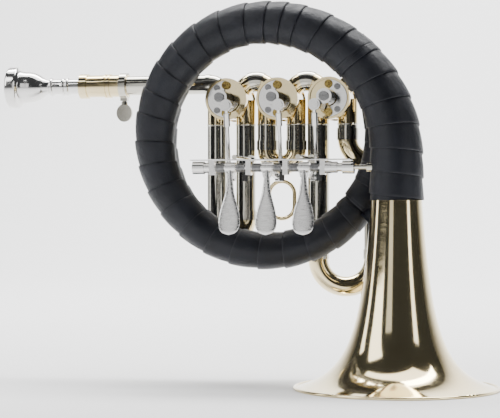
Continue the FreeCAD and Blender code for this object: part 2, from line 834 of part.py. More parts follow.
def rod_end_knob():
    shape = along_x(knob_left, collar_left, rod_y, rod_z, knob_radius)
    shape = shape.fuse(along_x(collar_left, knob_right, rod_y, rod_z, knob_collar_radius))
    return shape.cut(along_x(rod_left, knob_right, rod_y, rod_z, rod_radius + seat_gap))


def rod_end_barrel():
    shape = along_x(barrel_left, barrel_right, rod_y, rod_z, barrel_radius)
    shape = shape.fuse(along_x(neck_left, barrel_left, rod_y, rod_z, barrel_neck_radius))
    for i in range(2):
        left = ring_left + i * barrel_ring_length
        shape = shape.fuse(along_x(left, left + barrel_ring_length, rod_y, rod_z,
                                   barrel_ring_radius if i == 0 else barrel_ring_radius - 0.3))
    shape = shape.cut(along_x(ring_left, rod_right, rod_y, rod_z, rod_radius + seat_gap))
    return shape


def ring_bracket():
    """Stud from the barrel to the wrapped bell tail, with a foot shaped to the wrap."""
    stud = along_x(barrel_right, 0, rod_y, rod_z, bracket_stud_radius)
    drop = (tail_height - rod_z) / (tail_height - bell_throat_height)
    wrap_radius = (tail_radius + leather_wall) * (1 - drop) + drop * (
        bell_throat_radius + leather_collar_wall)
    surface = -math.sqrt(wrap_radius ** 2 - rod_y ** 2)
    foot = along_x(surface - bracket_foot_length, 0, rod_y, rod_z, bracket_foot_radius)
    core = loft(bell_wrap_sections(leather_wall + seat_gap, leather_collar_wall + seat_gap))
    beyond = Part.makeBox(60, 60, 60, Vec(-8, -30, rod_z - 30))
    return stud.fuse(foot).cut(core).cut(beyond)


# ================================================================ valve slides
def leg_xs(i):
    return valve_xs[i] - port_spread, valve_xs[i] + port_spread


def slide_sleeve(x, y, bottom, top, radius, trim):
    """Outer slide leg with a ferrule ring at its lower end, trimmed where it meets a casing."""
    shape = cylinder(Vec(x, y, bottom), Z_AXIS, top - bottom, radius)
    if radius < slide_ferrule_radius:
        shape = shape.fuse(cylinder(Vec(x, y, bottom), Z_AXIS, slide_ferrule_length,
                                    slide_ferrule_radius))
    shape = shape.cut(cylinder(Vec(x, y, bottom), Z_AXIS, top - bottom, leg_radius + running_fit))
    for body in trim:
        shape = shape.cut(body)
    return shape


def vertical_bow(left, right, z, radius):
    """Half torus joining two vertical tubes from below, ends level at z."""
    across = right.sub(left)
    reach = across.Length / 2
    across.normalize()
    centre = (left + right) * 0.5
    centre.z = z
    return bend(centre, across, Z_AXIS, reach, 180, 360, radius)


def slide_bow(left, right, z, leg_length):
    outer = vertical_bow(left, right, z, sleeve_radius)
    bore = vertical_bow(left, right, z, leg_bore)
    for place in (left, right):
        base = Vec(place.x, place.y, z)
        outer = outer.fuse(cylinder(base, Z_AXIS, leg_length, leg_radius))
        bore = bore.fuse(cylinder(base, Z_AXIS, leg_length, leg_bore))
    return outer.cut(bore)


def s_bend(top, bottom, z_top, radius, tube):
    """Two equal bends that carry a vertical tube sideways; returns the solid and its lower end."""
    across = bottom.sub(top)
    shift = across.Length
    across.normalize()
    angle = math.degrees(math.acos(1 - shift / (2 * radius)))
    drop = 2 * radius * math.sin(math.radians(angle))
    upper_centre = Vec(top.x, top.y, z_top) + across * radius
    lower_centre = Vec(bottom.x, bottom.y, z_top - drop) - across * radius
    upper = bend(upper_centre, across, Z_AXIS, radius, 180, 180 + angle, tube)
    lower = bend(lower_centre, across, Z_AXIS, radius, 0, angle, tube)
    return upper.fuse(lower), z_top - drop


def pull_ring(x, bow_z, bow_reach):
    """Oval finger ring hung under the second bow."""
    top = bow_z - bow_reach - sleeve_radius
    half_width = pull_ring_width / 2 - pull_ring_wire
    straight = pull_ring_height - 2 * pull_ring_wire - 2 * half_width
    upper_z = top - pull_ring_neck - pull_ring_wire - half_width
    lower_z = upper_z - straight
    upper = bend(Vec(x, port_depth, upper_z), X_AXIS, Z_AXIS, half_width, 0, 180, pull_ring_wire)
    lower = bend(Vec(x, port_depth, lower_z), X_AXIS, Z_AXIS, half_width, 180, 360, pull_ring_wire)
    sides = [cylinder(Vec(x + s * half_width, port_depth, lower_z), Z_AXIS, straight, pull_ring_wire)
             for s in (-1, 1)]
    neck = cylinder(Vec(x, port_depth, top + sleeve_radius), -Z_AXIS,
                    pull_ring_neck + sleeve_radius + pull_ring_wire, pull_ring_wire * 1.3)
    return upper.fuse([lower, neck] + sides)


casings = [valve_body(x) for x in valve_xs]
sleeve_top = valve_z
left_1, right_1 = leg_xs(0)
left_2, right_2 = leg_xs(1)
left_3, right_3 = leg_xs(2)
sleeves_1 = [slide_sleeve(x, port_depth, first_bow_z, sleeve_top, sleeve_radius, casings[:1])
             for x in (left_1, right_1)]
sleeves_2 = [slide_sleeve(x, port_depth, second_bow_z, sleeve_top, sleeve_radius, casings[1:2])
             for x in (left_2, right_2)]
return_leg = Vec(third_return_x, third_return_y, 0)
upper_leg = Vec(right_3, port_depth, 0)
s_outer, s_end_z = s_bend(upper_leg, return_leg, s_bend_top_z, s_bend_radius, sleeve_radius)
s_bore, _ = s_bend(upper_leg, return_leg, s_bend_top_z, s_bend_radius, leg_bore)
s_bend_tube = s_outer.cut(s_bore)
sleeves_3 = [
    slide_sleeve(left_3, port_depth, third_bow_z, sleeve_top, third_sleeve_radius, casings[2:]),
    slide_sleeve(right_3, port_depth, s_bend_top_z, sleeve_top, sleeve_radius, casings[2:]),
    slide_sleeve(third_return_x, third_return_y, third_bow_z, s_end_z, sleeve_radius, []),
]
bow_1 = slide_bow(Vec(left_1, port_depth, 0), Vec(right_1, port_depth, 0), first_bow_z,
                  first_leg_length)
bow_2 = slide_bow(Vec(left_2, port_depth, 0), Vec(right_2, port_depth, 0), second_bow_z,
                  second_leg_length)
bow_3 = slide_bow(Vec(left_3, port_depth, 0), return_leg, third_bow_z, third_leg_length)
finger_ring = pull_ring(valve_xs[1], second_bow_z, port_spread).cut(
    vertical_bow(Vec(left_2, port_depth, 0), Vec(right_2, port_depth, 0), second_bow_z,
                 sleeve_radius))

# ================================================================ arches and leadpipe
port_step = casing_radius / math.sqrt(2)


def arch_tube(left_x, right_x):
    """Quarter bend from the upper right port of one valve to the upper left port of the next."""
    chord = right_x - left_x - 2 * port_step
    reach = chord / math.sqrt(2)
    centre = Vec((left_x + right_x) / 2, port_depth, valve_z + port_step - chord / 2)
    solids = []
    for radius in (arch_tube_radius, arch_bore):
        shape = bend(centre, X_AXIS, Z_AXIS, reach, 45, 135, radius)
        for x, side in ((left_x, 1), (right_x, -1)):
            start = Vec(x + side * port_step, port_depth, valve_z + port_step)
            inward = Vec(-side, 0, -1)
            inward.normalize()
            shape = shape.fuse(cylinder(start, inward, port_lead, radius))
        solids.append(shape)
    shape = solids[0].cut(solids[1])
    for body in casings:
        shape = shape.cut(body)
    return shape


def leadpipe():
    """Straight pipe from the mouthpipe, bent down into the first valve's upper left port."""
    port = Vec(valve_xs[0] - port_step, port_depth, valve_z + port_step)
    centre = Vec(port.x - pipe_bend_radius * math.sin(math.radians(45)), port_depth,
                 port.z - pipe_bend_radius * math.cos(math.radians(45)))
    start_x = centre.x
    height = centre.z + pipe_bend_radius
    solids = []
    for radius in (pipe_radius, pipe_bore):
        shape = cylinder(Vec(pipe_end_x, port_depth, height), X_AXIS, start_x - pipe_end_x, radius)
        shape = shape.fuse(bend(centre, X_AXIS, Z_AXIS, pipe_bend_radius, 45, 90, radius))
        inward = Vec(1, 0, -1)
        inward.normalize()
        solids.append(shape.fuse(cylinder(port, inward, port_lead, radius)))
    return solids[0].cut(solids[1]).cut(casings[0]), start_x, height


leadpipe_tube, elbow_x, pipe_height = leadpipe()
arches = [arch_tube(valve_xs[i], valve_xs[i + 1]) for i in range(valve_count - 1)]


def ferrules():
    """Rings on the leadpipe elbow, the arch crowns and the top of the S bend."""
    rings = [pipe(Vec(elbow_x - ferrule_length, port_depth, pipe_height), X_AXIS, ferrule_length,
                  ferrule_radius, pipe_radius + seat_gap)]
    for i in range(valve_count - 1):
        chord = valve_pitch - 2 * port_step
        centre = Vec((valve_xs[i] + valve_xs[i + 1]) / 2, port_depth, valve_z + port_step - chord / 2)
        band = bend(centre, X_AXIS, Z_AXIS, chord / math.sqrt(2), 90 - arch_band_half_angle,
                    90 + arch_band_half_angle, ferrule_radius)
        rings.append(band.cut(bend(centre, X_AXIS, Z_AXIS, chord / math.sqrt(2), 45, 135,
                                   arch_tube_radius + seat_gap)))
    rings.append(pipe(Vec(right_3, port_depth, s_bend_top_z - s_ferrule_length), Z_AXIS, s_ferrule_length,
                      slide_ferrule_radius, sleeve_radius + s_ferrule_gap))
    return rings


def exit_crook():
    """Tube from the third valve's upper right port over and down into the coil."""
    port = Vec(valve_xs[2] + port_step, port_depth, valve_z + port_step)
    start = coil_point(coil_start_turn)
    start_angle = 135.0
    end_angle = -coil_start_turn
    sections = {0: [], 1: []}
    steps = 8
    inward = Vec(-1, 0, -1)
    inward.normalize()
    for which, shrink in ((0, 0.0), (1, tube_wall)):
        for lead in (port_lead, port_lead / 2):
            spoke = Vec(-math.sin(math.radians(45)), 0, math.cos(math.radians(45)))
            sections[which].append(round_section(port + inward * lead, spoke,
                                                 exit_tube_radius - shrink))
        for i in range(steps + 1):
            share = i / steps
            angle = math.radians(start_angle + (end_angle - start_angle) * share)
            spoke = Vec(math.cos(angle), 0, math.sin(angle))
            sections[which].append(round_section(
                crook_point(port, start, start_angle, end_angle, share), spoke,
                exit_tube_radius - shrink))
    return hollow_loft(sections[0], sections[1]).cut(casings[2])


def crook_point(port, start, start_angle, end_angle, share):
    """Point on a curve whose spoke turns evenly; its ends are stretched onto port and coil."""
    def unit(angle):
        return math.cos(math.radians(angle)), math.sin(math.radians(angle))
    x0, z0 = unit(start_angle)
    x1, z1 = unit(end_angle)
    x, z = unit(start_angle + (end_angle - start_angle) * share)
    reach = math.hypot(start.x - port.x, start.z - port.z) / math.hypot(x1 - x0, z1 - z0)
    drift_x = (start.x - port.x) - reach * (x1 - x0)
    drift_z = (start.z - port.z) - reach * (z1 - z0)
    ease = blend(share)
    return Vec(port.x + reach * (x - x0) + drift_x * ease,
               port.y + (start.y - port.y) * ease,
               port.z + reach * (z - z0) + drift_z * ease)


def leadpipe_stay():
    """Short post between the leadpipe and the leather on the back of the coil."""
    turn = 180 + math.degrees(math.asin((pipe_height - coil_centre_z) / coil_radius))
    spoke = turn_spoke(turn)
    x = coil_centre_x + spoke.x * coil_radius
    wrap_back = coil_depth(turn) + coil_tube_radius(turn) + leather_wall
    core_pipe = cylinder(Vec(x - 30, port_depth, pipe_height), X_AXIS, 60, pipe_radius + seat_gap)
    post = cylinder(Vec(x, wrap_back - 4, pipe_height), Y_AXIS, port_depth - wrap_back + 4, stay_radius)
    foot = cylinder(Vec(x, wrap_back - 4, pipe_height), Y_AXIS, 4 + stay_foot_length, stay_foot_radius)
    behind = Part.makeBox(60, 40, 60, Vec(x - 30, port_depth, pipe_height - 30))
    shape = post.fuse(foot)
    for strip in bundle_strips:
        shape = shape.cut(strip)
    shape = shape.cut(core_pipe).cut(behind)
    return max(shape.Solids, key=lambda solid: solid.Volume)


# ================================================================ mouthpipe and mouthpiece
def mouthpipe():
    axis_start = Vec(sleeve_start_x, port_depth, pipe_height)
    length = sleeve_end_x - sleeve_start_x
    shape = cylinder(axis_start, X_AXIS, length, mouthpipe_radius)
    shape = shape.fuse(cylinder(axis_start, X_AXIS, mouthpipe_bead_length, mouthpipe_bead_radius))
    for i in range(2):
        start = Vec(mouthpipe_ring_x + i * mouthpipe_ring_pitch, port_depth, pipe_height)
        shape = shape.fuse(cylinder(start, X_AXIS, mouthpipe_ring_length,
                                    mouthpipe_radius + mouthpipe_ring_rise))
    shape = shape.cut(cylinder(axis_start, X_AXIS, length, shank_radius + running_fit))
    socket = cylinder(Vec(socket_end_x, port_depth, pipe_height), X_AXIS,
                      sleeve_end_x - socket_end_x, pipe_radius + running_fit)
    return shape.cut(socket)


clamp_x = sleeve_end_x - clamp_length - clamp_setback


def clamp_collar():
    start = Vec(clamp_x, port_depth, pipe_height)
    shape = cylinder(start, X_AXIS, clamp_length, clamp_radius)
    lug = Part.makeBox(clamp_length, clamp_lug_width, clamp_lug_drop, Vec(
        clamp_x, port_depth - clamp_lug_width / 2, pipe_height - clamp_lug_drop))
    shape = shape.fuse(lug)
    shape = shape.cut(cylinder(start, X_AXIS, clamp_length, mouthpipe_radius + seat_gap))
    slot = Part.makeBox(clamp_length, clamp_slot, clamp_radius + 1, Vec(
        clamp_x, port_depth - clamp_slot / 2, pipe_height))
    shape = shape.cut(slot)
    hole_base = Vec(clamp_x + clamp_length / 2, port_depth, pipe_height - clamp_lug_drop)
    screw_hole = cylinder(hole_base, Z_AXIS, clamp_lug_drop, thumb_thread_radius + running_fit)
    return shape.cut(screw_hole)


def thumb_screw():
    x = clamp_x + clamp_length / 2
    neck_top = pipe_height - clamp_lug_drop - body_gap
    neck_low = neck_top - thumb_neck_length
    thread_top = pipe_height - mouthpipe_radius - 0.1
    thread = cylinder(Vec(x, port_depth, neck_low), Z_AXIS, thread_top - neck_low,
                      thumb_thread_radius)
    neck = cylinder(Vec(x, port_depth, neck_low), Z_AXIS, thumb_neck_length, thumb_neck_radius)
    centre_z = neck_low - thumb_pad_half_height + 0.6
    oval = Part.Ellipse(Vec(x, port_depth, centre_z), thumb_pad_half_height, thumb_pad_half_width)
    outline = Part.Wire(oval.toShape())
    outline.rotate(Vec(x, port_depth, centre_z), Z_AXIS, 90)
    outline.rotate(Vec(x, port_depth, centre_z), X_AXIS, 90)
    outline.translate(Vec(0, thumb_pad_thickness / 2, 0))
    pad = Part.Face(outline).extrude(Vec(0, -thumb_pad_thickness, 0))
    return thread.fuse([neck, pad])


def mouthpiece():
    base = Vec(mouthpiece_rim_x, port_depth, pipe_height)

    def at(x):
        return x - mouthpiece_rim_x

    rim_end = mouthpiece_rim_length
    cup_end = at(cup_end_x)
    cup_long = cup_end - rim_end - 4.6
    outline = [
        (0.6, 0), (0.6, mouthpiece_rim_radius - 1.2), (1.2, mouthpiece_rim_radius),
        (rim_end - 1, mouthpiece_rim_radius), (rim_end, mouthpiece_rim_radius - 1),
        (rim_end + 1.6, cup_radius + 1.2), (rim_end + 4.4, cup_radius - 0.8),
    ]
    bulb_steps = 6
    for i in range(bulb_steps + 1):
        share = i / bulb_steps
        angle = math.pi * (0.28 + 0.60 * share)
        outline.append((rim_end + 4.6 + cup_long * share,
                        neck_radius + (cup_radius - neck_radius) * math.sin(angle)))
    neck_end = cup_end + 3.0
    outline += [(cup_end + 0.8, neck_radius), (neck_end, neck_radius)]
    for start, length in ((neck_end, 1.8), (neck_end + 8.4, 2.2), (neck_end + 11.4, 2.2)):
        outline += [(start, shank_radius), (start + 0.3, bead_radius), (start + length, bead_radius),
                    (start + length + 0.3, shank_radius)]
    outline += [(at(shank_end_x), shank_radius - 0.1), (at(shank_end_x), 0)]
    body = revolve_profile(outline, base, X_AXIS)
    cup = [(0, 0), (0, cup_inner_radius + 1.6), (1.6, cup_inner_radius)]
    cup_steps = 6
    for i in range(1, cup_steps + 1):
        share = i / cup_steps
        cup.append((1.6 + (cup_depth - 1.6) * math.sin(share * math.pi / 2),
                    throat_radius + (cup_inner_radius - throat_radius) * math.cos(share * math.pi / 2)))
    cup += [(at(shank_end_x) + 1, shank_radius - 1.0), (at(shank_end_x) + 1, 0)]
    return body.cut(revolve_profile(cup, base, X_AXIS))


# ================================================================ write every piece
os.makedirs("parts", exist_ok=True)
save("bell_flare", bell_sheet)
save("bell_rim_wire", rim_wire)
save("second_turn_tube", second_turn_tube)
save("first_turn_tube", first_turn_tube)
save("exit_crook", exit_crook())
save("leather_ring_wrap", *bundle_strips)
save("leather_bell_wrap", bell_wrap)
save("leather_crossing_wraps", crossing_wrap, back_wrap)
save("leadpipe", leadpipe_tube)
save("tube_ferrules", *ferrules())
save("leadpipe_stay", leadpipe_stay())
save("valve_rear_caps", *[rear_cap(x) for x in valve_xs])
save("stop_plate_screws", *[screw for i in range(valve_count)
                            for screw in plate_screws(valve_xs[i], mirror_side[i])])
save("cork_bumpers", *[cork for x in valve_xs for cork in corks(x)])
for i in range(valve_count):
    number = i + 1
    save("valve_casing_%d" % number, valve_casing(valve_xs[i]))
    save("bearing_plate_%d" % number, bearing_plate(valve_xs[i]))
    save("stop_plate_%d" % number, stop_plate(valve_xs[i], mirror_side[i]))
    save("rotor_%d" % number, valve_rotor(valve_xs[i]))
    save("stop_arm_%d" % number, stop_arm(valve_xs[i], mirror_side[i]))
    save("stop_arm_screw_%d" % number, arm_screw(valve_xs[i]))
    save("lever_%d" % number, lever(i))
    save("link_%d" % number, link(i))
for i in range(valve_count - 1):
    save("arch_tube_%d_%d" % (i + 1, i + 2), arches[i])
save("slide_sleeves_1", *sleeves_1)
save("slide_sleeves_2", *sleeves_2)
save("slide_sleeves_3", *sleeves_3)
save("third_slide_s_bend", s_bend_tube)
save("slide_bow_1", bow_1)
save("slide_bow_2", bow_2)
save("slide_bow_3", bow_3)
save("slide_pull_ring", finger_ring)
save("lever_saddle", saddle())
save("saddle_struts", *struts())
save("stop_studs", *stop_studs())
save("lever_springs", *springs())
save("pivot_rod", along_x(rod_left, rod_right, rod_y, rod_z, rod_radius))
save("rod_end_knob", rod_end_knob())
save("rod_end_barrel", rod_end_barrel())
save("ring_bracket", ring_bracket())
save("mouthpipe_sleeve", mouthpipe())
save("clamp_collar", clamp_collar())
save("thumb_screw", thumb_screw())
save("mouthpiece", mouthpiece())
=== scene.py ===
# %% [markdown]
# # A small valved hunting horn
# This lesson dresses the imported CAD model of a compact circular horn.
# The solids, joints and clearances come from the CAD model and stay where they are.
# Here each part gets its real surface: spiral leather, wound springs, knurled ends, crowned
# finger plates, smooth spun brass and the metals they are made of.

# %% Load the frame
import json
import math

import bmesh
import bpy
import numpy as np
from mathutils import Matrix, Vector
from mathutils.bvhtree import BVHTree


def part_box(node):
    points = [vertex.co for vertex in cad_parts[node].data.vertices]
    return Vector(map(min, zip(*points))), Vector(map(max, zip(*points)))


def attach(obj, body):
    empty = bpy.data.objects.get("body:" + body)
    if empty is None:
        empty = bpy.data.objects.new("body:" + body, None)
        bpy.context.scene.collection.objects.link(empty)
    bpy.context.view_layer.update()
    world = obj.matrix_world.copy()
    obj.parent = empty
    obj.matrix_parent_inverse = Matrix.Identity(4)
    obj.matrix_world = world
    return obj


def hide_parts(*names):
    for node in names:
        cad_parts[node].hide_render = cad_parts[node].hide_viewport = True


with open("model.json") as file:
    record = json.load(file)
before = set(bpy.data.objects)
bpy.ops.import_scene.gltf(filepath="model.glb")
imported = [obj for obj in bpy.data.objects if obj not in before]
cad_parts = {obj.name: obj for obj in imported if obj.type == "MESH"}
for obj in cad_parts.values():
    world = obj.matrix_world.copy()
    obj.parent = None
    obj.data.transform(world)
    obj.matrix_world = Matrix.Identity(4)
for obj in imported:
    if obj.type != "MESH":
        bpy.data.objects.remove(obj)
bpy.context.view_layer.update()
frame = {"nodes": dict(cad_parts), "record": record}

MM = 0.001
slot_of = {part["node"]: part["material_slot"] for part in frame["record"]["subparts"]}
body_of = {node: body for body, nodes in frame["record"]["behaviour"]["bodies"].items()
           for node in nodes}

# %% [markdown]
# ## Small tools
# Most pieces are made in one of three ways: a mesh from grid points, a shape turned about an
# axis, or a clean copy of a CAD node. The helpers below do those three jobs. They also set the
# material, looked up by the piece's slot name, and the body that the piece rides on.

# %% Mesh helpers
def to_mesh(name, points, faces, smooth_angle=35):
    mesh = bpy.data.meshes.new(name)
    mesh.from_pydata([tuple(p) for p in points], [], [tuple(int(i) for i in f) for f in faces])
    mesh.validate()
    mesh.polygons.foreach_set("use_smooth", [True] * len(mesh.polygons))
    mesh.set_sharp_from_angle(angle=math.radians(smooth_angle))
    return mesh


def add_piece(name, mesh, slot, body, replaced, look=None):
    piece = bpy.data.objects.new(name, mesh)
    bpy.context.scene.collection.objects.link(piece)
    mesh.materials.clear()
    mesh.materials.append(looks[look or slot])
    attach(piece, body)
    if replaced:
        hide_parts(*replaced)
    return piece


def cad_arrays(node, tolerance=2e-6):
    """Points and triangles of a CAD node with its loose triangles merged."""
    mesh = frame["nodes"][node].data
    points = np.empty(len(mesh.vertices) * 3, np.float64)
    mesh.vertices.foreach_get("co", points)
    corners = np.empty(len(mesh.loops), np.int64)
    mesh.loops.foreach_get("vertex_index", corners)
    points = points.reshape(-1, 3)
    keys = np.round(points / tolerance).astype(np.int64)
    _, first, place = np.unique(keys, axis=0, return_index=True, return_inverse=True)
    triangles = place.reshape(-1)[corners].reshape(-1, 3)
    proper = ((triangles[:, 0] != triangles[:, 1]) & (triangles[:, 1] != triangles[:, 2])
              & (triangles[:, 2] != triangles[:, 0]))
    return points[first], triangles[proper]


def cad_tree(*nodes):
    points, triangles, start = [], [], 0
    for node in nodes:
        node_points, node_triangles = cad_arrays(node)
        points.append(node_points)
        triangles.append(node_triangles + start)
        start += len(node_points)
    return BVHTree.FromPolygons(np.vstack(points).tolist(), np.vstack(triangles).tolist())


def carry(node, bevel=0.0, smooth_angle=35):
    """A clean, smooth-shaded copy of a CAD node, with its sharp edges eased if bevel is given."""
    points, triangles = cad_arrays(node)
    mesh = to_mesh(node + "_look", points, triangles, smooth_angle)
    piece = add_piece(node + "_look", mesh, slot_of[node], body_of[node], [node])
    if bevel:
        ease = piece.modifiers.new("Eased edges", "BEVEL")
        ease.width = bevel
        ease.segments = 2
        ease.limit_method = "ANGLE"
        ease.angle_limit = math.radians(40)
        ease.use_clamp_overlap = True
        ease.harden_normals = False
    return piece


def turned_points(profile, origin, axis, segments):
    """Points and faces of a closed (along, radius) loop turned about an axis."""
    axis = Vector(axis).normalized()
    side = axis.orthogonal().normalized()
    other = axis.cross(side)
    count = len(profile)
    points = []
    for step in range(segments):
        angle = 2 * math.pi * step / segments
        out = side * math.cos(angle) + other * math.sin(angle)
        points += [Vector(origin) + axis * along + out * radius for along, radius in profile]
    faces = []
    for step in range(segments):
        here, after = step * count, (step + 1) % segments * count
        for i in range(count):
            j = (i + 1) % count
            faces.append((here + i, after + i, after + j, here + j))
    return points, faces


def smooth_line(points, per_span=6):
    """Catmull-Rom line through (along, radius) points; a point given twice stays a corner."""
    line = []
    for i in range(len(points) - 1):
        before = points[max(i - 1, 0)]
        start, end = points[i], points[i + 1]
        after = points[min(i + 2, len(points) - 1)]
        for step in range(per_span):
            t = step / per_span
            line.append(tuple(
                0.5 * (2 * b + (c - a) * t + (2 * a - 5 * b + 4 * c - d) * t * t
                       + (3 * b - a - 3 * c + d) * t ** 3)
                for a, b, c, d in zip(before, start, end, after)))
    line.append(points[-1])
    tidy = [line[0]]
    for place in line[1:]:
        if math.dist(place, tidy[-1]) > 1e-6:
            tidy.append(place)
    return tidy


# %% [markdown]
# ## Materials
# The tubes are yellow brass under lacquer, the sleeves and mouthpipe nickel silver, and the
# levers and plates are nickel plated. Polished metal is never perfectly even, so each one has
# slow changes of tone, faint wiping marks in its roughness and a very low bump. The leather
# has a fine grain with soft creases, and its bands are a little lighter at their worn edges.

# %% Material helpers
def add_node(tree, kind, at=(0, 0), **settings):
    node = tree.nodes.new(kind)
    node.location = at
    for key, value in settings.items():
        setattr(node, key, value)
    return node


def start_material(name):
    material = bpy.data.materials.new(name)
    material.use_nodes = True
    tree = material.node_tree
    shader = tree.nodes["Principled BSDF"]
    where = add_node(tree, "ShaderNodeTexCoord", (-1100, 0)).outputs["Object"]
    return material, tree, shader, where


def noise(tree, where, scale, detail=3.0, stretch=None):
    if stretch:
        mapping = add_node(tree, "ShaderNodeMapping", (-900, -200))
        mapping.inputs["Scale"].default_value = stretch
        tree.links.new(where, mapping.inputs["Vector"])
        where = mapping.outputs["Vector"]
    texture = add_node(tree, "ShaderNodeTexNoise", (-700, 0))
    texture.inputs["Scale"].default_value = scale
    texture.inputs["Detail"].default_value = detail
    tree.links.new(where, texture.inputs["Vector"])
    return texture.outputs["Fac"]


def remap(tree, value, low, high, from_low=0.3, from_high=0.7):
    node = add_node(tree, "ShaderNodeMapRange", (-450, -200))
    for socket, number in zip(("From Min", "From Max", "To Min", "To Max"),
                              (from_low, from_high, low, high)):
        node.inputs[socket].default_value = number
    tree.links.new(value, node.inputs["Value"])
    return node.outputs["Result"]


def mix_colour(tree, factor, first, second):
    node = add_node(tree, "ShaderNodeMix", (-300, 200), data_type="RGBA")
    tree.links.new(factor, node.inputs["Factor"])
    node.inputs["A"].default_value = (*first, 1)
    node.inputs["B"].default_value = (*second, 1)
    return node.outputs["Result"]


def bump(tree, shader, heights):
    """Chains (value, depth in metres) bumps into the shader's normal."""
    last = None
    for value, depth in heights:
        node = add_node(tree, "ShaderNodeBump", (-250, -400))
        node.inputs["Distance"].default_value = depth
        tree.links.new(value, node.inputs["Height"])
        if last:
            tree.links.new(last, node.inputs["Normal"])
        last = node.outputs["Normal"]
    tree.links.new(last, shader.inputs["Normal"])


def metal(name, colour, tarnish, roughness, coat=0.0):
    material, tree, shader, where = start_material(name)
    patches = remap(tree, noise(tree, where, 28, 4), 0, 1, 0.42, 0.72)
    tree.links.new(mix_colour(tree, patches, colour, tarnish), shader.inputs["Base Color"])
    wiping = noise(tree, where, 160, 5, (1, 1, 6))
    tree.links.new(remap(tree, wiping, roughness * 0.75, roughness * 1.3),
                   shader.inputs["Roughness"])
    bump(tree, shader, [(noise(tree, where, 45, 2), 0.00002), (noise(tree, where, 900, 3), 0.000002)])
    shader.inputs["Metallic"].default_value = 1.0
    shader.inputs["Coat Weight"].default_value = coat
    shader.inputs["Coat Roughness"].default_value = 0.04
    return material


# %% The metals, cork, rubber and leather
def leather():
    material, tree, shader, where = start_material("wrap_leather")
    band = add_node(tree, "ShaderNodeAttribute", (-1100, 400), attribute_name="band_share")
    grain = add_node(tree, "ShaderNodeTexVoronoi", (-700, -500), feature="DISTANCE_TO_EDGE")
    grain.inputs["Scale"].default_value = 1500
    tree.links.new(where, grain.inputs["Vector"])
    tone = mix_colour(tree, remap(tree, noise(tree, where, 45, 4), 0, 1),
                      (0.0045, 0.0052, 0.0085), (0.008, 0.0092, 0.0145))
    worn = remap(tree, band.outputs["Fac"], 0, 0.55, 0.93, 1.0)
    edge = add_node(tree, "ShaderNodeMix", (-100, 300), data_type="RGBA")
    tree.links.new(worn, edge.inputs["Factor"])
    tree.links.new(tone, edge.inputs["A"])
    edge.inputs["B"].default_value = (0.016, 0.017, 0.022, 1)
    tree.links.new(edge.outputs["Result"], shader.inputs["Base Color"])
    tree.links.new(remap(tree, noise(tree, where, 130, 5), 0.38, 0.52), shader.inputs["Roughness"])
    creases = noise(tree, where, 95, 3, (1, 2.2, 1))
    bump(tree, shader, [(creases, 0.0006), (noise(tree, where, 420, 4), 0.00012),
                        (remap(tree, grain.outputs["Distance"], 0, 1, 0, 0.35), 0.00004)])
    shader.inputs["Specular IOR Level"].default_value = 0.3
    return material


def cork():
    material, tree, shader, where = start_material("bumper_cork")
    specks = remap(tree, noise(tree, where, 1300, 5), 0, 1, 0.45, 0.62)
    tree.links.new(mix_colour(tree, specks, (0.62, 0.45, 0.12), (0.20, 0.12, 0.03)),
                   shader.inputs["Base Color"])
    bump(tree, shader, [(noise(tree, where, 1600, 4), 0.0001)])
    shader.inputs["Roughness"].default_value = 0.75
    return material


def rubber():
    material, tree, shader, where = start_material("stud_rubber")
    tree.links.new(mix_colour(tree, noise(tree, where, 300), (0.012, 0.012, 0.012), (0.03, 0.03, 0.03)),
                   shader.inputs["Base Color"])
    bump(tree, shader, [(noise(tree, where, 1500, 3), 0.00003)])
    shader.inputs["Roughness"].default_value = 0.6
    return material


looks = {
    "lacquered_brass": metal("lacquered_brass", (0.83, 0.70, 0.42), (0.74, 0.60, 0.33), 0.10, 0.3),
    "rotor_brass": metal("rotor_brass", (0.70, 0.55, 0.29), (0.55, 0.42, 0.20), 0.25),
    "nickel_silver": metal("nickel_silver", (0.62, 0.60, 0.53), (0.55, 0.52, 0.44), 0.10, 0.1),
    "bright_nickel": metal("bright_nickel", (0.80, 0.79, 0.77), (0.74, 0.73, 0.71), 0.13),
    "satin_nickel": metal("satin_nickel", (0.78, 0.77, 0.75), (0.72, 0.71, 0.70), 0.24),
    "screw_steel": metal("screw_steel", (0.30, 0.30, 0.30), (0.22, 0.22, 0.225), 0.3),
    "bumper_cork": cork(),
    "stud_rubber": rubber(),
    "wrap_leather": leather(),
}
print("materials", sorted(looks))

# %% [markdown]
# ## Leather wrap
# The coil is bound with one long strip of leather, wound in a spiral so that each turn laps the
# next. The strip's exposed edge is raised and throws a thin shadow line. The surface is measured
# on the CAD wrap by casting rays at it, so it keeps the true thickness, and it sinks a little
# between the two tubes as real leather does. A mesh grid runs along the strip itself, so the
# steps are crisp. Geometry Nodes then lift each band from its tucked start to its free edge.

# %% Measure the coil
def circle_fit(points):
    """Centre of the circle that best fits X, Z points."""
    system = np.column_stack([points[:, 0], points[:, 2], np.ones(len(points))])
    answer = np.linalg.lstsq(system, points[:, 0] ** 2 + points[:, 2] ** 2, rcond=None)[0]
    return answer[0] / 2, answer[1] / 2


first_turn_points, _ = cad_arrays("first_turn_tube")
coil_x, coil_z = circle_fit(first_turn_points)
tubes = cad_tree("first_turn_tube", "second_turn_tube", "bell_flare", "exit_crook")
print("coil centre in mm", round(coil_x / MM, 1), round(coil_z / MM, 1))


SLICE_HALF_ANGLE = 6.5             # degrees each side of a turn that count as its section


def turn_direction(turn):
    """Outward direction at a turn, in degrees clockwise from three o'clock, seen from the front."""
    angle = math.radians(-turn)
    return Vector((math.cos(angle), 0, math.sin(angle)))


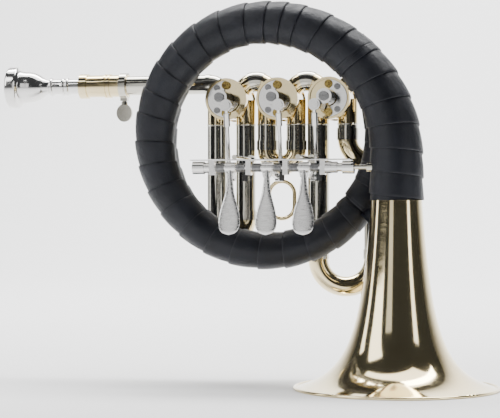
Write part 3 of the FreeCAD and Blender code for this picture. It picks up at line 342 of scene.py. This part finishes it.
def wrap_centres(points, turns):
    """Middle of a wrap's section at each turn, from the spread of its points near that turn."""
    angles = np.degrees(np.arctan2(-(points[:, 2] - coil_z), points[:, 0] - coil_x)) % 360
    reach = np.hypot(points[:, 0] - coil_x, points[:, 2] - coil_z)
    centres = []
    for turn in turns:
        near = np.abs((angles - turn + 180) % 360 - 180) < SLICE_HALF_ANGLE
        centres.append(((reach[near].min() + reach[near].max()) / 2,
                        (points[near, 1].min() + points[near, 1].max()) / 2))
    return np.array(centres)


def ring_section(turns, centres):
    """Section function for wind(), from the measured (reach, depth) centres at some turns."""
    def section(turn):
        out = turn_direction(turn)
        reach = float(np.interp(turn, turns, centres[:, 0]))
        depth = float(np.interp(turn, turns, centres[:, 1]))
        return Vector((coil_x, depth, coil_z)) + out * reach, out, Vector((0, 1, 0))
    return section


# %% Strip tools
COLUMNS = 72                       # grid columns in one winding of the strip
BAND_ROWS = (0.0, 0.05, 0.14, 0.3, 0.5, 0.7, 0.86, 0.95, 0.985, 1.0)
LAP = 0.00105                      # height of a free edge above the band beside it
LEATHER = 0.0021
CAST_FROM = 0.036                  # rays start this far from a section's centre
SEARCH = 0.03                      # farthest tube surface that counts as under the leather
FREE_GAP = 1.15                    # leather thicknesses above a tube before it starts to sink
SINK_SHARE = 0.5                   # part of the extra gap that the leather sinks
SINK_LIMIT = 0.0022


def lean(phi):
    """Share of the pitch that the strip has moved on by, most of it behind the coil."""
    share = (phi / (2 * math.pi)) % 1
    half = share * 2
    return half * 2 / 3 if half < 1 else 2 / 3 + (half - 1) / 3


def wind(seams, section, tree):
    """Strip mesh: seams are the places along the path of the free edges; section(place) gives
    (centre, outward, back) there. Free edges face the far end."""
    marks = np.arange(len(seams))
    windings = len(seams) - 1
    points, outs, shares, faces = [], [], [], []
    rows = len(BAND_ROWS)
    columns = (windings + 1) * COLUMNS + 1
    for column in range(columns):
        phi = 2 * math.pi * (column % COLUMNS) / COLUMNS
        whole = column // COLUMNS - 1 + lean(phi) * (1 if column % COLUMNS else 0)
        for share in BAND_ROWS:
            place = float(np.interp(whole + share, marks, seams))
            centre, out, back = section(place)
            ray = out * math.cos(phi) + back * math.sin(phi)
            hit, _, _, _ = tree.ray_cast(centre + ray * CAST_FROM, -ray, CAST_FROM)
            if hit is None:
                bare, _, _, _ = tubes.ray_cast(centre + ray * CAST_FROM, -ray, CAST_FROM)
                hit = (bare if bare else centre + ray * 0.01) + ray * LEATHER
            _, _, _, gap = tubes.find_nearest(hit, SEARCH)
            sink = min(max((gap or 0) - LEATHER * FREE_GAP, 0) * SINK_SHARE, SINK_LIMIT)
            points.append(hit - ray * sink)
            outs.append(ray)
            shares.append(share)
    for column in range(columns - 1):
        for row in range(rows - 1):
            a = column * rows + row
            faces.append((a, a + 1, a + rows + 1, a + rows))
        on = column + COLUMNS
        if on + 1 < columns:
            a, b = column * rows + rows - 1, on * rows
            faces.append((a, b, b + rows, a + rows))
    return points, outs, shares, faces


def strip_object(name, points, outs, shares, faces):
    mesh = to_mesh(name, points, faces, 60)
    kept = mesh.attributes.new("outward", "FLOAT_VECTOR", "POINT")
    kept.data.foreach_set("vector", np.array(outs, np.float32).reshape(-1))
    band = mesh.attributes.new("band_share", "FLOAT", "POINT")
    band.data.foreach_set("value", np.array(shares, np.float32))
    holder = bpy.data.objects.new(name, mesh)
    bpy.context.scene.collection.objects.link(holder)
    return holder


# %% Geometry Nodes that lift the bands
def new_group(name, **inputs):
    group = bpy.data.node_groups.new(name, "GeometryNodeTree")
    group.interface.new_socket("Geometry", in_out="INPUT", socket_type="NodeSocketGeometry")
    group.interface.new_socket("Geometry", in_out="OUTPUT", socket_type="NodeSocketGeometry")
    for key, kind in inputs.items():
        group.interface.new_socket(key.replace("_", " "), in_out="INPUT",
                                   socket_type="NodeSocket" + kind)
    return (group, group.nodes.new("NodeGroupInput").outputs,
            group.nodes.new("NodeGroupOutput").inputs)


def maths(group, operation, *values):
    node = group.nodes.new("ShaderNodeMath")
    node.operation = operation
    for socket, value in zip(node.inputs, values):
        if isinstance(value, (int, float)):
            socket.default_value = value
        else:
            group.links.new(value, socket)
    return node.outputs[0]


def finish_group(group, geometry, given, result):
    realized = group.nodes.new("GeometryNodeRealizeInstances")
    group.links.new(geometry, realized.inputs["Geometry"])
    painted = group.nodes.new("GeometryNodeSetMaterial")
    group.links.new(realized.outputs["Geometry"], painted.inputs["Geometry"])
    group.links.new(given["Material"], painted.inputs["Material"])
    group.links.new(painted.outputs["Geometry"], result["Geometry"])


def bake(holder, group, values):
    """Runs a node group on an object and returns a plain mesh; the holder is removed."""
    modifier = holder.modifiers.new(group.name, "NODES")
    modifier.node_group = group
    for item in group.interface.items_tree:
        if item.in_out == "INPUT" and item.name in values:
            modifier[item.identifier] = values[item.name]
    holder.update_tag()
    bpy.context.view_layer.update()
    depsgraph = bpy.context.evaluated_depsgraph_get()
    mesh = bpy.data.meshes.new_from_object(holder.evaluated_get(depsgraph), depsgraph=depsgraph)
    holder.modifiers.clear()
    bpy.data.objects.remove(holder)
    return mesh


lap_group, given, result = new_group("Lapped bands", Lap_height="Float", Material="Material")
share = lap_group.nodes.new("GeometryNodeInputNamedAttribute")
share.data_type = "FLOAT"
share.inputs["Name"].default_value = "band_share"
outward = lap_group.nodes.new("GeometryNodeInputNamedAttribute")
outward.data_type = "FLOAT_VECTOR"
outward.inputs["Name"].default_value = "outward"
tucked = maths(lap_group, "POWER", maths(lap_group, "SUBTRACT", 1.0, share.outputs["Attribute"]), 1.5)
rolled = maths(lap_group, "MULTIPLY", maths(lap_group, "POWER", share.outputs["Attribute"], 90.0), 0.28)
drop = maths(lap_group, "MULTIPLY", maths(lap_group, "ADD", tucked, rolled), given["Lap height"])
scaled = lap_group.nodes.new("ShaderNodeVectorMath")
scaled.operation = "SCALE"
lap_group.links.new(outward.outputs["Attribute"], scaled.inputs[0])
lap_group.links.new(maths(lap_group, "MULTIPLY", drop, -1.0), scaled.inputs["Scale"])
move = lap_group.nodes.new("GeometryNodeSetPosition")
lap_group.links.new(given["Geometry"], move.inputs["Geometry"])
lap_group.links.new(scaled.outputs[0], move.inputs["Offset"])
finish_group(lap_group, move.outputs["Geometry"], given, result)
print("lap height in mm", LAP / MM)


def close_ends(mesh):
    """Closes the open ends of a wound strip by folding them in onto the tube."""
    work = bmesh.new()
    work.from_mesh(mesh)
    bmesh.ops.remove_doubles(work, verts=work.verts, dist=4e-6)
    bmesh.ops.dissolve_degenerate(work, dist=1e-6, edges=work.edges)
    loose = [e for e in work.edges if e.is_boundary]
    made = bmesh.ops.extrude_edge_only(work, edges=loose)["geom"]
    for vertex in [g for g in made if isinstance(g, bmesh.types.BMVert)]:
        near, _, _, gap = tubes.find_nearest(vertex.co, SEARCH)
        if near is not None:
            vertex.co = vertex.co.lerp(near, 0.97)
    bmesh.ops.recalc_face_normals(work, faces=work.faces)
    work.to_mesh(mesh)
    work.free()


def leather_piece(name, parts, replaced):
    meshes = []
    for part in parts:
        meshes.append(bake(strip_object(name, *part), lap_group,
                           {"Lap height": LAP, "Material": looks["wrap_leather"]}))
    for mesh in meshes:
        close_ends(mesh)
    if len(meshes) == 1:
        mesh = meshes[0]
    else:
        work = bmesh.new()
        for one in meshes:
            work.from_mesh(one)
        mesh = bpy.data.meshes.new(name)
        work.to_mesh(mesh)
        work.free()
    mesh.polygons.foreach_set("use_smooth", [True] * len(mesh.polygons))
    mesh.set_sharp_from_angle(angle=math.radians(50))
    piece = add_piece(name, mesh, "wrap_leather", "horn_body", replaced)
    print(name, "faces", len(mesh.polygons))
    return piece


# %% Wind the two turns together
BUNDLE = (38.3, 321.6)
seam_turns = [BUNDLE[0], 47, 59, 71, 83, 95, 108, 120, 133, 145, 156, 168, 179, 192, 203, 216,
              226, 239, 251, 264, 274, 282, 290, 302, 313, BUNDLE[1]]
probe_turns = np.arange(38, 322.5, 3)
ring_points, _ = cad_arrays("leather_ring_wrap")
bundle_section = ring_section(probe_turns, wrap_centres(ring_points, probe_turns))
ring = wind(seam_turns, bundle_section, cad_tree("leather_ring_wrap"))
leather_piece("leather_ring", [ring], ["leather_ring_wrap"])

# %% [markdown]
# The coil's big end leaves the bundle at the right and runs down onto the bell as one tube, with
# a square-cut collar at the bottom. The smaller turn crosses behind it in its own wrap.

# %% Wind the bell tail and the crossing
wrap_low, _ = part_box("leather_bell_wrap")
bell_tail_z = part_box("bell_flare")[1].z
bend_x, bend_z = coil_x, bell_tail_z
bend_radius = -coil_x
bend_start = 50.0                  # degrees round the bend where the bell wrap takes over
bend_length = math.radians(bend_start) * bend_radius
collar_drop = bell_tail_z - wrap_low.z
bundle_shift = 0.0003              # Y of the bend where it leaves the bundle


def bell_section(place):
    """Place is the distance along the tube from the bend's start, in metres."""
    if place < bend_length:
        angle = math.radians(bend_start) - place / bend_radius
        out = Vector((math.cos(angle), 0, math.sin(angle)))
        depth = float(np.interp(place, (0, bend_length), (bundle_shift, 0)))
        return Vector((bend_x, depth, bend_z)) + out * bend_radius, out, Vector((0, 1, 0))
    return Vector((0, 0, bend_z - (place - bend_length))), Vector((1, 0, 0)), Vector((0, 1, 0))


bell_length = bend_length + collar_drop - 0.0001
band = 0.0155
bell_seams = [0.0, 0.0125]
while bell_seams[-1] + band * 1.35 < bell_length:
    bell_seams.append(bell_seams[-1] + band)
bell_seams.append(bell_length)
bell_wrap = wind(bell_seams, bell_section, cad_tree("leather_bell_wrap"))
leather_piece("leather_bell", [bell_wrap], ["leather_bell_wrap"])

crossing_probe = np.arange(324, 394, 3)
back_probe = np.arange(-14, 36, 3)


def split_shells(node):
    """The separate shells of a node, each as (points, triangles)."""
    points, triangles = cad_arrays(node)
    label = np.arange(len(points))
    while True:
        low = label[triangles].min(axis=1)
        fresh = label.copy()
        for corner in range(3):
            np.minimum.at(fresh, triangles[:, corner], low)
        fresh = fresh[fresh]
        if (fresh == label).all():
            break
        label = fresh
    shells = []
    for name in np.unique(label[triangles[:, 0]]):
        shells.append((points, triangles[label[triangles[:, 0]] == name]))
    return shells


shells = split_shells("leather_crossing_wraps")
shells.sort(key=lambda shell: shell[0][np.unique(shell[1])][:, 1].mean())
print("crossing shells", len(shells), [len(shell[1]) for shell in shells])


crossing_parts = []
for shell, probe, ends in ((shells[0], crossing_probe, (320.0, 398.5)),
                           (shells[-1], back_probe, (-15.7, 39.5))):
    seams = list(np.linspace(ends[0], ends[1], 7 if probe is crossing_probe else 6))
    tree = BVHTree.FromPolygons(shell[0].tolist(), shell[1].tolist())
    centres = wrap_centres(shell[0][np.unique(shell[1])], probe)
    crossing_parts.append(wind(seams, ring_section(probe, centres), tree))
leather_piece("leather_crossing", crossing_parts, ["leather_crossing_wraps"])

# %% [markdown]
# ## Bell
# The bell is spun from thin sheet over a mandrel, so its surface is one smooth sweep with very
# fine turning marks. The profile is measured on the CAD bell and turned again with many more
# steps, which keeps long reflections clean.

# %% Turn the bell
bell_tree = cad_tree("bell_flare")
bell_low, bell_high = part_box("bell_flare")
heights = [bell_low.z + 0.0004 + (bell_high.z - bell_low.z - 0.0005) * (i / 70) ** 1.7
           for i in range(71)]
outer, inner = [], []
for height in heights:
    outside, _, _, _ = bell_tree.ray_cast(Vector((0.2, 0, height)), Vector((-1, 0, 0)))
    inside, _, _, _ = bell_tree.ray_cast(Vector((0, 0, height)), Vector((1, 0, 0)))
    if outside and inside and outside.x - inside.x > 0.0002:
        outer.append((height, outside.x))
        inner.append((height, inside.x))
bell_points, bell_faces = turned_points(outer + inner[::-1], (0, 0, 0), (0, 0, 1), 192)
add_piece("bell_turned", to_mesh("bell_turned", bell_points, bell_faces, 50),
          "lacquered_brass", "horn_body", ["bell_flare"])
print("bell stations", len(outer), "mouth radius in mm", round(outer[0][1] / MM, 1))

# %% [markdown]
# ## Mouthpiece
# A turned and plated cup mouthpiece: a rounded rim, a barrel-shaped cup, a narrow neck with two
# beads and a tapered shank. Its profile is drawn as a smooth line and turned.

# %% Turn the mouthpiece
cup_low, cup_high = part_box("mouthpiece")
cup_axis = ((cup_low.y + cup_high.y) / 2, (cup_low.z + cup_high.z) / 2)
length = (cup_high.x - cup_low.x) / MM
outside_line = smooth_line([
    (0.9, 10.6), (0.25, 11.4), (0, 12.4), (0.25, 13.5), (1.0, 14.2), (2.2, 14.4), (2.2, 14.4),
    (6.6, 14.4), (7.6, 14.1), (8.3, 13.2), (9.3, 11.9), (11.0, 11.2), (13.5, 10.9), (17.0, 10.6),
    (20.5, 9.6), (23.5, 8.0), (26.0, 6.2), (28.3, 5.0), (29.6, 4.8), (29.6, 4.8), (30.0, 5.4),
    (30.4, 6.1), (31.2, 6.3), (32.0, 6.1), (32.4, 5.2), (32.4, 5.2), (38.6, 5.2), (38.9, 5.9),
    (39.8, 6.3), (40.7, 5.9), (41.0, 5.2), (41.8, 5.2), (42.1, 5.9), (42.9, 6.3), (43.8, 5.9),
    (44.1, 5.2), (44.1, 5.2), (length - 0.5, 5.1), (length - 0.1, 4.9), (length - 0.1, 4.9)], 5)
inside_line = smooth_line([
    (length - 0.1, 4.4), (length - 0.1, 4.4), (30, 2.9), (17.5, 2.15), (16.2, 2.4), (15.0, 3.4),
    (13.0, 5.2), (10.0, 6.9), (6.0, 8.2), (3.0, 8.9), (1.7, 9.6), (0.9, 10.6)], 5)
profile = [(a * MM, r * MM) for a, r in outside_line + inside_line[:-1]]
cup_points, cup_faces = turned_points(profile, (cup_low.x, *cup_axis), (1, 0, 0), 128)
add_piece("mouthpiece_turned", to_mesh("mouthpiece_turned", cup_points, cup_faces, 45),
          "bright_nickel", "mouthpiece_body", ["mouthpiece"])
print("mouthpiece length in mm", round(length, 1))

# %% [markdown]
# ## Lever springs
# Each lever turns on the rod between two small torsion springs. They are close-wound steel
# wire, so they read as fine slanted lines between the bright posts. Geometry Nodes sweep one
# round wire along a helix and place it at the six marked starts.

# %% Wind the springs
spring_points, _ = cad_arrays("lever_springs")
spring_low, spring_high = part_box("lever_springs")
rod_low, rod_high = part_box("pivot_rod")
rod_y, rod_z = (rod_low.y + rod_high.y) / 2, (rod_low.z + rod_high.z) / 2
places = np.unique(np.round(spring_points[:, 0] / 5e-6)) * 5e-6
ends = [places[0]] + [x for before, x in zip(places, places[1:]) if x - before > 1e-5]
starts, spring_length = ends[0::2], ends[1] - ends[0]
spring_radius = (spring_high.z - spring_low.z) / 2
wire = 0.00042
spring_group, given, result = new_group("Wound springs", Length="Float", Turns="Float",
                                        Coil_radius="Float", Wire_radius="Float",
                                        Material="Material")
spiral = spring_group.nodes.new("GeometryNodeCurveSpiral")
spiral.inputs["Resolution"].default_value = 28
for source, target in (("Turns", "Rotations"), ("Coil radius", "Start Radius"),
                       ("Coil radius", "End Radius"), ("Length", "Height")):
    spring_group.links.new(given[source], spiral.inputs[target])
section = spring_group.nodes.new("GeometryNodeCurvePrimitiveCircle")
section.inputs["Resolution"].default_value = 10
spring_group.links.new(given["Wire radius"], section.inputs["Radius"])
sweep = spring_group.nodes.new("GeometryNodeCurveToMesh")
sweep.inputs["Fill Caps"].default_value = True
spring_group.links.new(spiral.outputs["Curve"], sweep.inputs["Curve"])
spring_group.links.new(section.outputs["Curve"], sweep.inputs["Profile Curve"])
lay_down = spring_group.nodes.new("GeometryNodeTransform")
lay_down.inputs["Rotation"].default_value = (0, math.pi / 2, 0)
spring_group.links.new(sweep.outputs["Mesh"], lay_down.inputs["Geometry"])
copies = spring_group.nodes.new("GeometryNodeInstanceOnPoints")
spring_group.links.new(given["Geometry"], copies.inputs["Points"])
spring_group.links.new(lay_down.outputs["Geometry"], copies.inputs["Instance"])
finish_group(spring_group, copies.outputs["Instances"], given, result)
marks = bpy.data.meshes.new("spring_starts")
marks.from_pydata([(x + wire, rod_y, rod_z) for x in starts], [], [])
holder = bpy.data.objects.new("spring_starts", marks)
bpy.context.scene.collection.objects.link(holder)
turn_count = (spring_length - 2 * wire) / (2.15 * wire)
spring_mesh = bake(holder, spring_group, {
    "Length": spring_length - 2 * wire, "Turns": turn_count,
    "Coil radius": spring_radius - wire, "Wire radius": wire,
    "Material": looks["screw_steel"]})
spring_mesh.polygons.foreach_set("use_smooth", [True] * len(spring_mesh.polygons))
add_piece("wound_springs", spring_mesh, "screw_steel", "horn_body", ["lever_springs"])
print("springs", len(starts), "turns", round(turn_count, 1))

# %% [markdown]
# ## Knurled ends
# The rod's left end is a screwed knob and the right end has a ring, both knurled for grip.
# Geometry Nodes set small ridges round a smooth copy of the CAD piece.

# %% Knurl the knob and the ring
knurl_group, given, result = new_group("Knurl", Radius="Float", Start="Float", Length="Float",
                                       Ridge="Float", Count="Int", Centre="Vector",
                                       Material="Material")
around = knurl_group.nodes.new("GeometryNodeMeshCircle")
knurl_group.links.new(given["Count"], around.inputs["Vertices"])
knurl_group.links.new(given["Radius"], around.inputs["Radius"])
upright = knurl_group.nodes.new("GeometryNodeTransform")
upright.inputs["Rotation"].default_value = (0, math.pi / 2, 0)
knurl_group.links.new(around.outputs["Mesh"], upright.inputs["Geometry"])
shift = knurl_group.nodes.new("GeometryNodeTransform")
knurl_group.links.new(upright.outputs["Geometry"], shift.inputs["Geometry"])
knurl_group.links.new(given["Centre"], shift.inputs["Translation"])
bar = knurl_group.nodes.new("GeometryNodeMeshCylinder")
bar.inputs["Vertices"].default_value = 6
knurl_group.links.new(given["Ridge"], bar.inputs["Radius"])
knurl_group.links.new(given["Length"], bar.inputs["Depth"])
lying = knurl_group.nodes.new("GeometryNodeTransform")
lying.inputs["Rotation"].default_value = (0, math.pi / 2, 0)
knurl_group.links.new(bar.outputs["Mesh"], lying.inputs["Geometry"])
ridges = knurl_group.nodes.new("GeometryNodeInstanceOnPoints")
knurl_group.links.new(shift.outputs["Geometry"], ridges.inputs["Points"])
knurl_group.links.new(lying.outputs["Geometry"], ridges.inputs["Instance"])
join = knurl_group.nodes.new("GeometryNodeJoinGeometry")
knurl_group.links.new(given["Geometry"], join.inputs["Geometry"])
knurl_group.links.new(ridges.outputs["Instances"], join.inputs["Geometry"])
finish_group(knurl_group, join.outputs["Geometry"], given, result)


def knurled(node, bands):
    """Copy of a node with ridges; bands are (start, length, radius) along X."""
    points, triangles = cad_arrays(node)
    mesh = to_mesh(node + "_knurled", points, triangles, 35)
    ridge = 0.00021
    for start, length, radius in bands:
        holder = bpy.data.objects.new(node, mesh)
        bpy.context.scene.collection.objects.link(holder)
        mesh = bake(holder, knurl_group, {
            "Radius": radius - ridge * 0.35, "Length": length, "Ridge": ridge,
            "Count": int(2 * math.pi * radius / (ridge * 2.3)),
            "Centre": (start + length / 2, rod_y, rod_z), "Material": looks["bright_nickel"]})
    return add_piece(node + "_knurled", mesh, slot_of[node], body_of[node], [node])


knob_low, knob_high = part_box("rod_end_knob")
knob_radius = (knob_high.z - knob_low.z) / 2
knurled("rod_end_knob", [(knob_low.x + 0.0006, 0.0064, knob_radius - 0.0002)])
barrel_low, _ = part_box("rod_end_barrel")
knurled("rod_end_barrel", [(barrel_low.x + 0.0003, 0.0032, 0.0038),
                           (barrel_low.x + 0.0041, 0.0032, 0.0035)])
print("knob radius in mm", round(knob_radius / MM, 2))

# %% [markdown]
# ## Finger plates
# Each lever ends in a drop-shaped plate, narrow where it leaves the hub and wide and softly
# crowned where the finger rests. Two dark cheeks flank its root. The hub, rear arm and pin are a
# clean copy of the CAD lever. The flat CAD plate is cut away from the copy and a crowned one is
# lofted in its place from sections along its length.

# %% Build the levers
def drop_half_width(share, widest):
    """Half width of the plate along its length, 0 at the hub and 1 at the tip."""
    table = [(0, 0.20), (0.1, 0.24), (0.18, 0.29), (0.3, 0.37), (0.38, 0.45), (0.48, 0.61),
             (0.58, 0.79), (0.68, 0.92), (0.76, 0.985), (0.82, 1.0), (0.89, 0.93), (0.94, 0.78),
             (0.975, 0.53), (1.0, 0.0)]
    places, widths = zip(*table)
    return widest * float(np.interp(share, places, widths))


def build_lever(number):
    node = "lever_%d" % number
    points, triangles = cad_arrays(node)
    low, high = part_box(node)
    hub = [p for p in points if abs(p[1] - rod_y) < 0.0036 and abs(p[2] - rod_z) < 0.0036]
    middle = (min(p[0] for p in hub) + max(p[0] for p in hub)) / 2
    in_plate = (points[:, 2] < rod_z - 0.0037) & (points[:, 1] < rod_y + 0.0002)
    kept = triangles[~in_plate[triangles].any(axis=1)]
    plate = points[in_plate]
    tip = plate[plate[:, 2].argmin()]
    widest = (plate[:, 0].max() - plate[:, 0].min()) / 2 * 1.03
    top = Vector((middle, rod_y - 0.0012, rod_z - 0.0018))
    bottom = Vector((middle, tip[1], tip[2]))
    down = bottom - top
    front = Vector((0, -1, 0))
    front = (front - down.normalized() * front.dot(down.normalized())).normalized()
    across = Vector((1, 0, 0))
    rows, half = 72, 24
    made, faces = [], []
    for row in range(rows + 1):
        share = math.sin(row / rows * math.pi / 2) ** 1.15
        width = max(drop_half_width(share, widest), 0.00002)
        round_off = min(1, math.sqrt(max(1 - share, 0) * 14))
        crown = (0.0008 + 0.0012 * (1 - min(share / 0.5, 1))) * round_off
        centre = top + down * share
        for step in range(2 * half):
            angle = math.pi * step / half
            x, y = math.cos(angle), math.sin(angle)
            bulge = crown * (y ** 0.45 if y > 0 else 0)
            back = -0.0007 * round_off * (abs(y) ** 0.5 if y < 0 else 0)
            made.append(centre + across * width * x + front * (bulge + back - 0.0001))
    count = 2 * half
    for row in range(rows):
        for step in range(count):
            a, b = row * count + step, row * count + (step + 1) % count
            faces.append((a, a + count, b + count, b))
    faces.append(tuple(range(count)))
    faces.append(tuple(range(rows * count + count - 1, rows * count - 1, -1)))
    cheeks, cheek_faces = [], []
    for side in (-1, 1):
        for end in (0, 1):
            for across_step, deep in ((0.0026, -0.0008), (0.0034, -0.0008), (0.0034, 0.0012),
                                      (0.0026, 0.0012)):
                centre = top + down * (0.0 if end == 0 else 0.11)
                inward = 0.0009 * end
                cheeks.append(centre + across * side * (across_step - inward)
                              + front * (deep - 0.0012 * end) * 0.9)
        start = (side + 1) // 2 * 8
        quad = [(0, 1, 2, 3), (7, 6, 5, 4), (0, 4, 5, 1), (1, 5, 6, 2), (2, 6, 7, 3), (3, 7, 4, 0)]
        cheek_faces += [tuple(start + i for i in q) for q in quad]
    base = len(points)
    all_points = [tuple(p) for p in points] + made + cheeks
    all_faces = [tuple(t) for t in kept]
    all_faces += [tuple(base + i for i in f) for f in faces]
    all_faces += [tuple(base + len(made) + i for i in f) for f in cheek_faces]
    mesh = to_mesh(node + "_crowned", all_points, all_faces, 38)
    work = bmesh.new()
    work.from_mesh(mesh)
    bmesh.ops.delete(work, geom=[v for v in work.verts if not v.link_faces], context="VERTS")
    bmesh.ops.recalc_face_normals(work, faces=work.faces)
    work.to_mesh(mesh)
    work.free()
    mesh.set_sharp_from_angle(angle=math.radians(38))
    piece = add_piece(node + "_crowned", mesh, slot_of[node], body_of[node], [node], "satin_nickel")
    print(node, "plate width in mm", round(2 * widest / MM, 1))
    return piece


for number in (1, 2, 3):
    build_lever(number)

# %% [markdown]
# ## Everything else
# The remaining metal pieces already have their full shape in CAD: casings, plates, slotted
# screws, arms, links, slides and braces. Each gets a merged copy with smooth shading. On the
# saddle, the collar and the stop arms, plates and screws, sharp machined edges are eased by a
# fraction of a millimetre, so that they catch the light.

# %% Slide sleeves with brass necks
def split_at(node, height, low_slot, high_slot):
    """Copy of an upright node in two metals that meet at a height; returns both pieces."""
    points, triangles = cad_arrays(node)
    pieces = []
    for end, slot, keep_low in (("sleeve", low_slot, True), ("neck", high_slot, False)):
        mesh = to_mesh(node + "_" + end, points, triangles, 35)
        work = bmesh.new()
        work.from_mesh(mesh)
        bmesh.ops.bisect_plane(work, geom=work.verts[:] + work.edges[:] + work.faces[:],
                               plane_co=(0, 0, height), plane_no=(0, 0, 1),
                               clear_outer=keep_low, clear_inner=not keep_low)
        bmesh.ops.recalc_face_normals(work, faces=work.faces)
        work.to_mesh(mesh)
        work.free()
        mesh.set_sharp_from_angle(angle=math.radians(35))
        pieces.append(add_piece(node + "_" + end, mesh, slot, body_of[node], [node]))
    return pieces


def neck_rings(node, height):
    """Small half-round rings where each nickel sleeve starts."""
    points, _ = cad_arrays(node)
    level = points[points[:, 2] > height]
    middle_y = (level[:, 1].min() + level[:, 1].max()) / 2
    order = np.sort(np.unique(np.round(level[:, 0], 5)))
    groups = np.split(order, np.where(np.diff(order) > 0.003)[0] + 1)
    made, faces = [], []
    for group in groups:
        middle_x, radius = (group[0] + group[-1]) / 2, (group[-1] - group[0]) / 2
        if radius < 0.005:
            continue
        profile = [(-0.0006, radius - 0.0001), (-0.0004, radius + 0.0003), (0, radius + 0.0004),
                   (0.0004, radius + 0.0003), (0.0006, radius - 0.0001)]
        ring_points, ring_faces = turned_points(profile, (middle_x, middle_y, height), (0, 0, 1), 64)
        faces += [tuple(len(made) + i for i in f) for f in ring_faces]
        made += ring_points
    return add_piece(node + "_rings", to_mesh(node + "_rings", made, faces, 60), "nickel_silver",
                     body_of[node], [])


neck_height = 0.1722
for number in (1, 2, 3):
    node = "slide_sleeves_%d" % number
    split_at(node, neck_height, "nickel_silver", "lacquered_brass")
    neck_rings(node, neck_height)

# %% Carry the remaining nodes
eased = {"lever_saddle": 0.00018, "clamp_collar": 0.0002}
for number in (1, 2, 3):
    eased["stop_arm_%d" % number] = 0.0002
    eased["stop_plate_%d" % number] = 0.00015
    eased["stop_arm_screw_%d" % number] = 0.00012
carried = 0
for node in sorted(frame["nodes"]):
    if not frame["nodes"][node].hide_render:
        carry(node, eased.get(node, 0.0))
        carried += 1
print("carried nodes", carried)

# %% [markdown]
# ## Stage
# A pale floor sweeps up into a pale wall. A tall weak light stands in front, a large soft one at
# the upper left and narrow ones at both sides. One more hangs over the horn and one washes the
# wall. The room in front is left darker, so polished metal shows deep reflections.

# %% Floor and wall
sweep_line = [(-8.0, 0.0), (1.4, 0.0)]
sweep_line += [(1.4 + 1.2 * math.sin(a), 1.2 - 1.2 * math.cos(a))
               for a in np.linspace(0.1, math.pi / 2, 16)]
sweep_line += [(2.6, 3.4)]
stage_points = [(x, y, z) for y, z in sweep_line for x in (-8.0, 8.0)]
stage_faces = [(2 * i, 2 * i + 1, 2 * i + 3, 2 * i + 2) for i in range(len(sweep_line) - 1)]
floor_mesh = to_mesh("pale_floor", stage_points, stage_faces, 40)
floor = bpy.data.objects.new("pale_floor", floor_mesh)
bpy.context.scene.collection.objects.link(floor)
floor_look, tree, shader, where = start_material("pale_paper")
tree.links.new(mix_colour(tree, noise(tree, where, 3), (0.91, 0.91, 0.91), (0.94, 0.94, 0.94)),
               shader.inputs["Base Color"])
shader.inputs["Roughness"].default_value = 0.9
floor_mesh.materials.append(floor_look)

# %% Lights
def area_light(name, place, target, width, height, power):
    data = bpy.data.lights.new(name, "AREA")
    data.shape = "RECTANGLE"
    data.size, data.size_y, data.energy = width, height, power
    lamp = bpy.data.objects.new(name, data)
    bpy.context.scene.collection.objects.link(lamp)
    lamp.location = place
    lamp.rotation_euler = (Vector(target) - Vector(place)).to_track_quat("-Z", "Y").to_euler()


middle = (-0.1, 0, 0.12)
area_light("front_soft", (-0.46, -1.72, 0.52), (-0.09, 0, 0.17), 0.5, 0.95, 1.7)
area_light("soft_key", (-1.15, -0.95, 0.95), middle, 0.8, 1.2, 13)
area_light("right_strip", (1.35, -0.75, 0.35), middle, 0.3, 1.3, 4.5)
area_light("left_strip", (-1.5, -0.1, 0.35), middle, 0.25, 1.2, 3.5)
area_light("back_wash", (0.0, 0.7, 2.2), (0, 2.4, 0.5), 3.2, 1.0, 215)
area_light("top_soft", (0.0, 0.25, 1.5), (-0.05, 0.0, 0.1), 1.6, 1.0, 22)
world = bpy.data.worlds.new("soft_room")
bpy.context.scene.world = world
world.use_nodes = True
world.node_tree.nodes["Background"].inputs["Color"].default_value = (0.75, 0.78, 0.82, 1)
world.node_tree.nodes["Background"].inputs["Strength"].default_value = 0.07

# %% [markdown]
# ## Camera
# The camera stands level, a little to the right of the player's side, with a long lens. That
# keeps the upright tubes upright and shows the caps of the valves almost round.

# %% Place the camera
azimuth = math.radians(12)
distance = 1.1
aim = Vector((-0.0956, 0.0, 0.11495))
camera_data = bpy.data.cameras.new("camera")
camera_data.sensor_width = 36
camera_data.lens = 121.85
camera = bpy.data.objects.new("camera", camera_data)
bpy.context.scene.collection.objects.link(camera)
away = Vector((math.sin(azimuth), -math.cos(azimuth), 0))
camera.location = aim + away * distance
camera.rotation_euler = (-away).to_track_quat("-Z", "Y").to_euler()
bpy.context.scene.camera = camera
